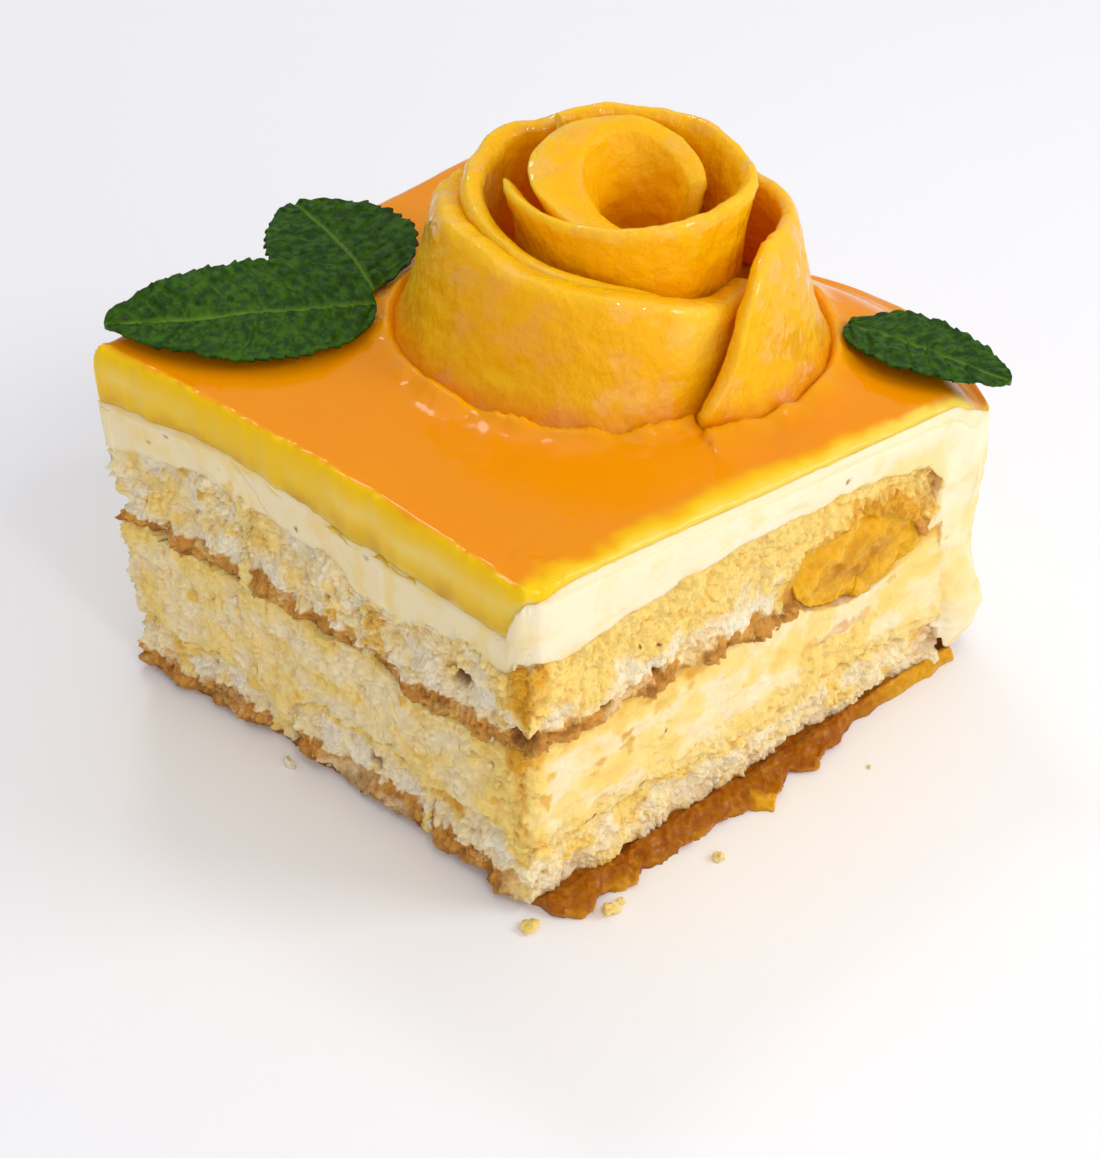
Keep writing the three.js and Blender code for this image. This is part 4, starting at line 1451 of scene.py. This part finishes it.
@dataclass
class Glaze:
    """The sheet of mango glaze, with its lip down the side face and its runs over the shoulder."""

    rose: Rose
    skirt: float = 1.4
    seam: float = 0.25
    columns: int = 125
    rows: int = 130
    skirt_rows: int = 21
    gap: float = 0.4
    climb: tuple[float, ...] = (0.0, 0.08, 0.2, 0.35, 0.5, 0.62, 0.73, 0.82, 0.89, 0.95, 0.985)
    lip_profile: tuple[float, ...] = (0.5, 0.25, 0.1, 0.02, 0.0, 0.0, 0.03, 0.1, 0.2, 0.36, 0.65)
    front_profile: tuple[float, ...] = (0.9, 0.85, 0.8, 0.75, 0.7, 0.7, 0.75, 0.8, 0.9, 1.1, 1.4)
    material: bpy.types.Material = field(default_factory=lambda: GlazeFinish().material())

    def stops(
        self, count: int, length: float, first: Sequence[float], last: Sequence[float]
    ) -> tuple[Array, Array]:
        """Gives stops across the top, with the wall's stops at the ends that have one.

        Args:
            count: How many stops lie on the top.
            length: Length of the top.
            first: How far inwards the wall at the start lies on its way up, or nothing.
            last: The same for the wall at the end.

        Returns:
            The place of each stop from 0 to 1, and how far up the wall it is from 0 to 1.
        """
        start, end = np.array(first) / length, 1 - np.array(last)[::-1] / length
        climb = np.array(self.climb)
        low = start[-1] + self.gap / length if len(start) else 0.0
        high = end[0] - self.gap / length if len(end) else 1.0
        place = np.concatenate([start, np.linspace(low, high, count), end])
        rise = np.concatenate([climb[:len(start)], np.ones(count), climb[::-1][:len(end)]])
        return place, rise

    def spread(self) -> Spread:
        """Lays out the grid."""
        u, rise_u = self.stops(self.columns, SLICE.front_length, self.lip_profile, ())
        v, rise_v = self.stops(self.rows, SLICE.side_length, self.front_profile, self.lip_profile)
        down = np.linspace(0, 1, self.skirt_rows + 1)[1:]
        u = np.concatenate([u, np.ones_like(down)])
        rise_u = np.concatenate([rise_u, np.ones_like(down)])
        down = np.concatenate([np.zeros(len(u) - len(down)), down])[:, None]
        u, v = np.meshgrid(u, v, indexing="ij")
        rise = np.minimum(*np.meshgrid(rise_u, rise_v, indexing="ij"))
        x, y = SLICE.place(u, v)
        away = self.rose.outline(x.ravel(), y.ravel()).reshape(x.shape)
        return Spread(u, v, rise, np.broadcast_to(down, u.shape), x, y, away)

    def levels(self, grid: Spread) -> tuple[Array, Array]:
        """The heights of the upper and the lower face, before the skirt runs down."""
        flat = grid.flat()
        front, side = grid.depths()
        outside = np.maximum(grid.away, 0)
        lumps = 1 + 0.5 * ripple(flat, 3.0, 72)
        pool = 1.7 * lumps * np.exp(-outside / 2.2) * ease(grid.away, -1.5, 0)
        wet = 0.3 * fractal(flat, 1.6, 3, 76) * np.exp(-outside / 3.0)
        corner = np.exp(-np.hypot(grid.x - 5, grid.y - 3) / 5)
        beaded = 0.85 * hill(side, 0.4, 0.8) + 0.14 * ease(front, 3.0, 1.5) + 0.6 * corner
        beads = np.maximum(fractal(flat, 1.4, 2, 77), -0.1) * beaded
        rim = 0.22 * hill(side, 0.6, 0.6)
        top = SLICE.glaze_top(grid.u, grid.v) + pool + wet + beads + rim + 0.14 * ripple(flat, 13, 73)
        bottom = SLICE.cream_top(grid.u, grid.v) - self.seam + SLICE.lip_fade(grid.u, grid.v)
        frayed = 0.5 * fractal(flat + 40, 2.4, 3, 80)
        return top, bottom - (0.5 + frayed) * ease(side, 3.0, 1.0)

    def faces(self, grid: Spread) -> tuple[Array, Array]:
        """The places of the upper and the lower face."""
        u, v, down = grid.u, grid.v, grid.down
        front, side = grid.depths()
        top, bottom = self.levels(grid)
        runs = 4 + 2 * ripple(np.stack([v * 9, 0 * v + 3, 0 * v], -1), 1, 71)
        runs = runs + 7 * hill(v, 0.32, 0.045) + 5 * hill(v, 0.72, 0.04)
        reach = runs * ease(v, 0, 0.12) * (1 - 0.5 * ease(v, 0.9, 1))
        edge = 0.34 * fractal(grid.flat(), 4.5, 4, 74) * (down == 0)
        swell = self.skirt + 2.6 * hill(v, 0.33, 0.05) * np.sin(2.5 * down)
        bulge = swell * np.sin(np.clip(down * 3, 0, 1) * np.pi / 2) * np.sqrt(np.clip(1.02 - down, 0, 1))
        shift_x, shift_y = SLICE.corner_shift(side, front)
        shift_x = -(0.4 + 1.5 * edge) * ease(side, 2.6, 1.0) * ease(front, 0.5, 6.0) + shift_x
        y = grid.y + (edge * (ease(v, 0.98, 1) - 1.6 * ease(front, 3.6, 1.2)) + shift_y)
        upper_x = grid.x + bulge * ease(v, 0, 0.1) + 0.35 * (down > 0) + shift_x
        upper_z = mix(bottom, top, grid.rise) - down * (reach + 0.6)
        upper_z = upper_z - 0.3 * ease(u, 0.955, 1.0) * (down == 0)
        lower_x = grid.x - 0.3 * (down > 0) + shift_x
        lower_z = np.minimum(bottom - down * (reach + 0.3), upper_z - 0.02)
        return np.stack([upper_x, y, upper_z], -1), np.stack([lower_x, y, lower_z], -1)

    def tones(self, grid: Spread) -> dict[str, Array]:
        """How gold, how yellow and how pale the glaze is."""
        x, rise, flat = grid.x, grid.rise, grid.flat()
        front, side = grid.depths()
        wavy = fractal(flat, 7, 3, 75)
        wispy = fractal(flat, 3, 3, 79)
        patchy = ease(fractal(flat, 9, 2, 78), -0.2, 0.3)
        width = 3.4 + 1.8 * hill(x, 30, 18) - 1.8 * ease(x, 48, 68)
        return {
            "gold": ease(rise + 0.2 * wavy, 0.5, 0.1) * ease(side, 1.5, 0.5) * (0.6 + 0.6 * wispy),
            "lip": np.maximum.reduce([
                ease(side + 0.5 * wavy, 1.6, 0.5),
                ease((front + wavy + wispy) / width, 1.0, 0.35),
                0.5 * ease(grid.down, 0.2, 1.0),
                0.25 * np.exp(-np.maximum(grid.away, 0) / 1.5),
            ]),
            "pale": np.maximum.reduce([
                0.3 * ease(front + 0.6 * wavy + 0.6 * wispy, 2.4, 0.8) * ease(x, 2.0, 12.0),
                0.5 * (hill(rise + 0.15 * wavy, 0.62, 0.16) * ease(side, 1.0, 0.3) * patchy),
                0.35 * ease(rise + 0.12 * wispy, 0.16, 0.0) * ease(side, 1.0, 0.3),
                0.8 * ease(front, 3.2, 0.8) * ease(rise, 0.95, 0.4) * ease(side, 2.0, 0.6),
            ]),
        }

    def build(self) -> None:
        """Builds the glaze."""
        grid = self.spread()
        shell = closed_sheet(*self.faces(grid), self.tones(grid))
        make_piece("glaze_sheet", shell, self.material, ("mango_glaze",))


# Mint
@dataclass(frozen=True)
class Leaf:
    """One mint leaf, from its base to its tip."""

    node: str
    base: tuple[float, float]
    tip: tuple[float, float]
    width: float
    bow: float
    lift: Triple
    roll: float
    teeth: int


LEAVES = (
    Leaf("mint_leaf_left", (19.8, 56.6), (-12.0, 71.6), 18.6, 2.2, (1.2, 3.6, 1.0), -0.2, 11),
    Leaf("mint_leaf_back", (22.0, 60.4), (24.4, 82.4), 21.6, -0.6, (0.8, 2.8, 2.0), -0.06, 8),
    Leaf("mint_leaf_right", (70.7, 20.3), (79.4, -1.6), 15.4, 0.6, (0.5, 1.0, 0.7), -0.04, 8),
)


@dataclass
class Mint:
    """The mint leaves."""

    thickness: float = 0.5
    above: float = 0.8
    columns: int = 130
    rows: int = 49
    material: bpy.types.Material = field(default_factory=lambda: MintFinish().material())

    def leaf(self, leaf: Leaf, seed: int) -> None:
        """Builds one leaf.

        Args:
            leaf: Its place and size.
            seed: Which unevenness it has.
        """
        s, side = np.meshgrid(np.linspace(0, 1, self.columns), np.linspace(-1, 1, self.rows), indexing="ij")
        base, tip = np.array(leaf.base), np.array(leaf.tip)
        along = tip - base
        across = np.array([-along[1], along[0]]) / np.linalg.norm(along)
        rim = np.abs(side)
        tooth = 1 - 0.07 * np.mod(s * leaf.teeth * 1.7 - 0.3 * (side > 0), 1) * rim**5
        half = leaf.width / 2 * np.maximum(0.03, np.sin(np.pi * s**0.8) ** 0.62) * tooth
        middle = base + s[..., None] * along + (leaf.bow * np.sin(np.pi * s))[..., None] * across
        place = middle + (side * half)[..., None] * across
        ribs = s * leaf.teeth * 1.05 - 1.9 * rim ** 1.25 * (0.35 + half / leaf.width)
        from_rib = np.abs(np.mod(ribs, 1) - 0.5) * 2
        vein = np.maximum(ease(from_rib, 0.78, 1.0) * ease(rim, 1.0, 0.8), ease(rim * half, 0.55, 0.15))
        x, y = place[..., 0], place[..., 1]
        flat = np.stack([x, y, 0 * s], -1)
        quilt = ease(bubbles(flat, 2.1, seed), 0.8, 0.1)
        start, high, end = leaf.lift
        rise = start * (1 - s) ** 2 + high * 2 * s * (1 - s) + end * s * s
        trough = 0.9 * half / leaf.width * rim
        relief = 0.5 * quilt * (1 - vein) - 0.3 * vein + 0.5 * fractal(flat, 6, 2, seed + 1)
        z = SLICE.slope(x, y) + self.above + rise + trough + relief + leaf.roll * side * half
        upper = np.concatenate([place, (z + self.thickness / 2)[..., None]], -1)
        lower = upper - (0, 0, self.thickness * 0.9)
        drawn = np.maximum(ease(rim * half, 0.5, 0.1), 0.35 * vein)
        shell = closed_sheet(upper, lower, {"vein": drawn})
        make_piece(leaf.node + "_blade", shell, self.material, (leaf.node,))

    def build(self) -> None:
        """Builds all leaves."""
        for seed, leaf in enumerate(LEAVES):
            self.leaf(leaf, 200 + 10 * seed)


# Crumbs
@dataclass
class Crumbs:
    """Crumbs that cling to the torn faces, and a few that lie loose before them."""

    sponge: bpy.types.Material
    seed: int = 12
    side_count: int = 46
    front_count: int = 16
    loose: tuple[Triple, ...] = (
        (-9.6, 41.1, 1.5), (25.0, -8.6, 1.2), (-1.6, -2.2, 1.6), (8.0, -6.6, 1.9), (10.0, -6.3, 1.1),
        (52.0, -9.4, 0.6),
    )

    def lump(self, centre: Array, size: float, seed: int) -> Shell:
        """One craggy crumb."""
        ball = bmesh.new()
        bmesh.ops.create_icosphere(ball, subdivisions=3, radius=1.0)
        points = np.array([vertex.co for vertex in ball.verts])
        faces = np.array([[vertex.index for vertex in face.verts] for face in ball.faces])
        ball.free()
        rough = 1 + 0.9 * fractal(points + seed, 0.8, 3, seed)
        stretch = 0.65 + 0.7 * scattered(np.array([[seed, 3, 5]]), 7)[0]
        return Shell(points * rough[:, None] * stretch * size / 2 + centre, faces)

    def centres(self, chance: np.random.Generator) -> list[tuple[Array, float]]:
        """Picks where the clinging crumbs sit and how large they are."""
        found = []
        for _ in range(self.side_count):
            along, size = chance.uniform(0.01, 0.99), chance.uniform(0.4, 1.3)
            x, y = SLICE.place(np.array([-0.1 / SLICE.front_length]), np.array([along]))
            high = size * 0.4 + 40 * chance.uniform(0, 1) ** 1.6
            found.append((np.array([x[0], y[0], high]), size))
        for _ in range(self.front_count):
            along, size = chance.uniform(0.0, 0.9), chance.uniform(0.4, 1.1)
            high = chance.uniform(2.5, 8)
            found.append((np.array([SLICE.front_length * along, 0.1, high]), size))
        return found

    def build(self) -> None:
        """Makes the crumbs."""
        chance = np.random.default_rng(self.seed)
        places = self.centres(chance)
        places += [(np.array([x, y, size * 0.42]), size) for x, y, size in self.loose]
        shells = []
        for number, (centre, size) in enumerate(places):
            shell = self.lump(centre, size, number)
            shell.points[:, 2] = np.maximum(shell.points[:, 2], 0.03)
            count = len(shell.points)
            tone = chance.uniform()
            shell.values = {
                "crumb": np.ones(count),
                "crust": np.full(count, 0.4 if tone > 0.95 else 0.0),
                "soak": np.full(count, 0.1 + 0.4 * chance.uniform()),
                "hollow": np.zeros(count),
                "wet": np.zeros(count),
            }
            shells.append(shell)
        make_piece("crumbs", joined_shells(shells), self.sponge)


# Studio
@dataclass(frozen=True)
class Lamp:
    """A soft square light: where it stands and its side in metres, its power in watts and its tint."""

    name: str
    place: Triple
    size: float
    power: float
    tint: Colour


LAMPS = (
    Lamp("window", (0.40, -0.42, 0.42), 0.26, 1.45, (1.0, 0.97, 0.93)),
    Lamp("overhead", (0.05, 0.12, 0.75), 0.5, 0.5, (1.0, 0.99, 0.98)),
    Lamp("fill", (-0.10, -0.58, 0.30), 0.5, 0.8, (1.0, 0.96, 0.86)),
    Lamp("glint", (-0.05, -0.40, 0.62), 0.05, 0.3, (1.0, 0.98, 0.95)),
    Lamp("sparkle", (0.15, 0.35, 0.60), 0.11, 0.45, (1.0, 0.98, 0.95)),
)


@dataclass
class Studio:
    """The floor, the light and the camera."""

    eye: Triple = (-0.1497, -0.1891, 0.2256)
    forward: Triple = (0.468, 0.5787, -0.6678)
    aim: Triple = (0, 0, 0.03)
    lens: float = 69.95
    nearest: float = 0.01
    sky: tuple[float, float, float, float] = (0.97, 0.98, 1.0, 1.0)
    sky_strength: float = 0.58
    floor_size: float = 3.0

    def floor(self) -> None:
        """Makes the floor."""
        mesh = bpy.data.meshes.new("floor")
        half = self.floor_size / 2
        corners = [(-half, -half, 0), (half, -half, 0), (half, half, 0), (-half, half, 0)]
        mesh.from_pydata(corners, [], [(0, 1, 2, 3)])
        mesh.materials.append(TableFinish().material())
        floor = bpy.data.objects.new("floor", mesh)
        bpy.context.scene.collection.objects.link(floor)

    def lamp(self, lamp: Lamp) -> None:
        """Makes a light that faces the slice."""
        light = bpy.data.lights.new(lamp.name, "AREA")
        light.size = lamp.size
        light.energy = lamp.power
        light.color = lamp.tint
        stand = bpy.data.objects.new(lamp.name, light)
        stand.location = lamp.place
        stand.rotation_euler = (Vector(self.aim) - Vector(lamp.place)).to_track_quat("-Z", "Y").to_euler()
        bpy.context.scene.collection.objects.link(stand)

    def camera(self) -> None:
        """Makes the camera at the photograph's angle."""
        seen = bpy.data.cameras.new("camera")
        seen.lens = self.lens
        seen.clip_start = self.nearest
        camera = bpy.data.objects.new("camera", seen)
        camera.location = self.eye
        camera.rotation_euler = Vector(self.forward).to_track_quat("-Z", "Y").to_euler()
        bpy.context.scene.collection.objects.link(camera)
        bpy.context.scene.camera = camera

    def build(self) -> None:
        """Sets up the studio."""
        self.camera()
        self.floor()
        world = bpy.data.worlds.new("studio")
        world.use_nodes = True
        background = world.node_tree.nodes["Background"]
        background.inputs["Color"].default_value = self.sky
        background.inputs["Strength"].default_value = self.sky_strength
        bpy.context.scene.world = world
        for lamp in LAMPS:
            self.lamp(lamp)
        bpy.context.scene.view_settings.view_transform = "Standard"


def main() -> None:
    """Builds the slice in its studio."""
    logging.basicConfig(level=logging.INFO, format="%(name)s %(message)s")
    Studio().build()
    layers = Layers()
    layers.build()
    Puree().build()
    rose = Rose()
    rose.build()
    Glaze(rose).build()
    Mint().build()
    Crumbs(layers.sponge).build()


if __name__ == "__main__":
    main()
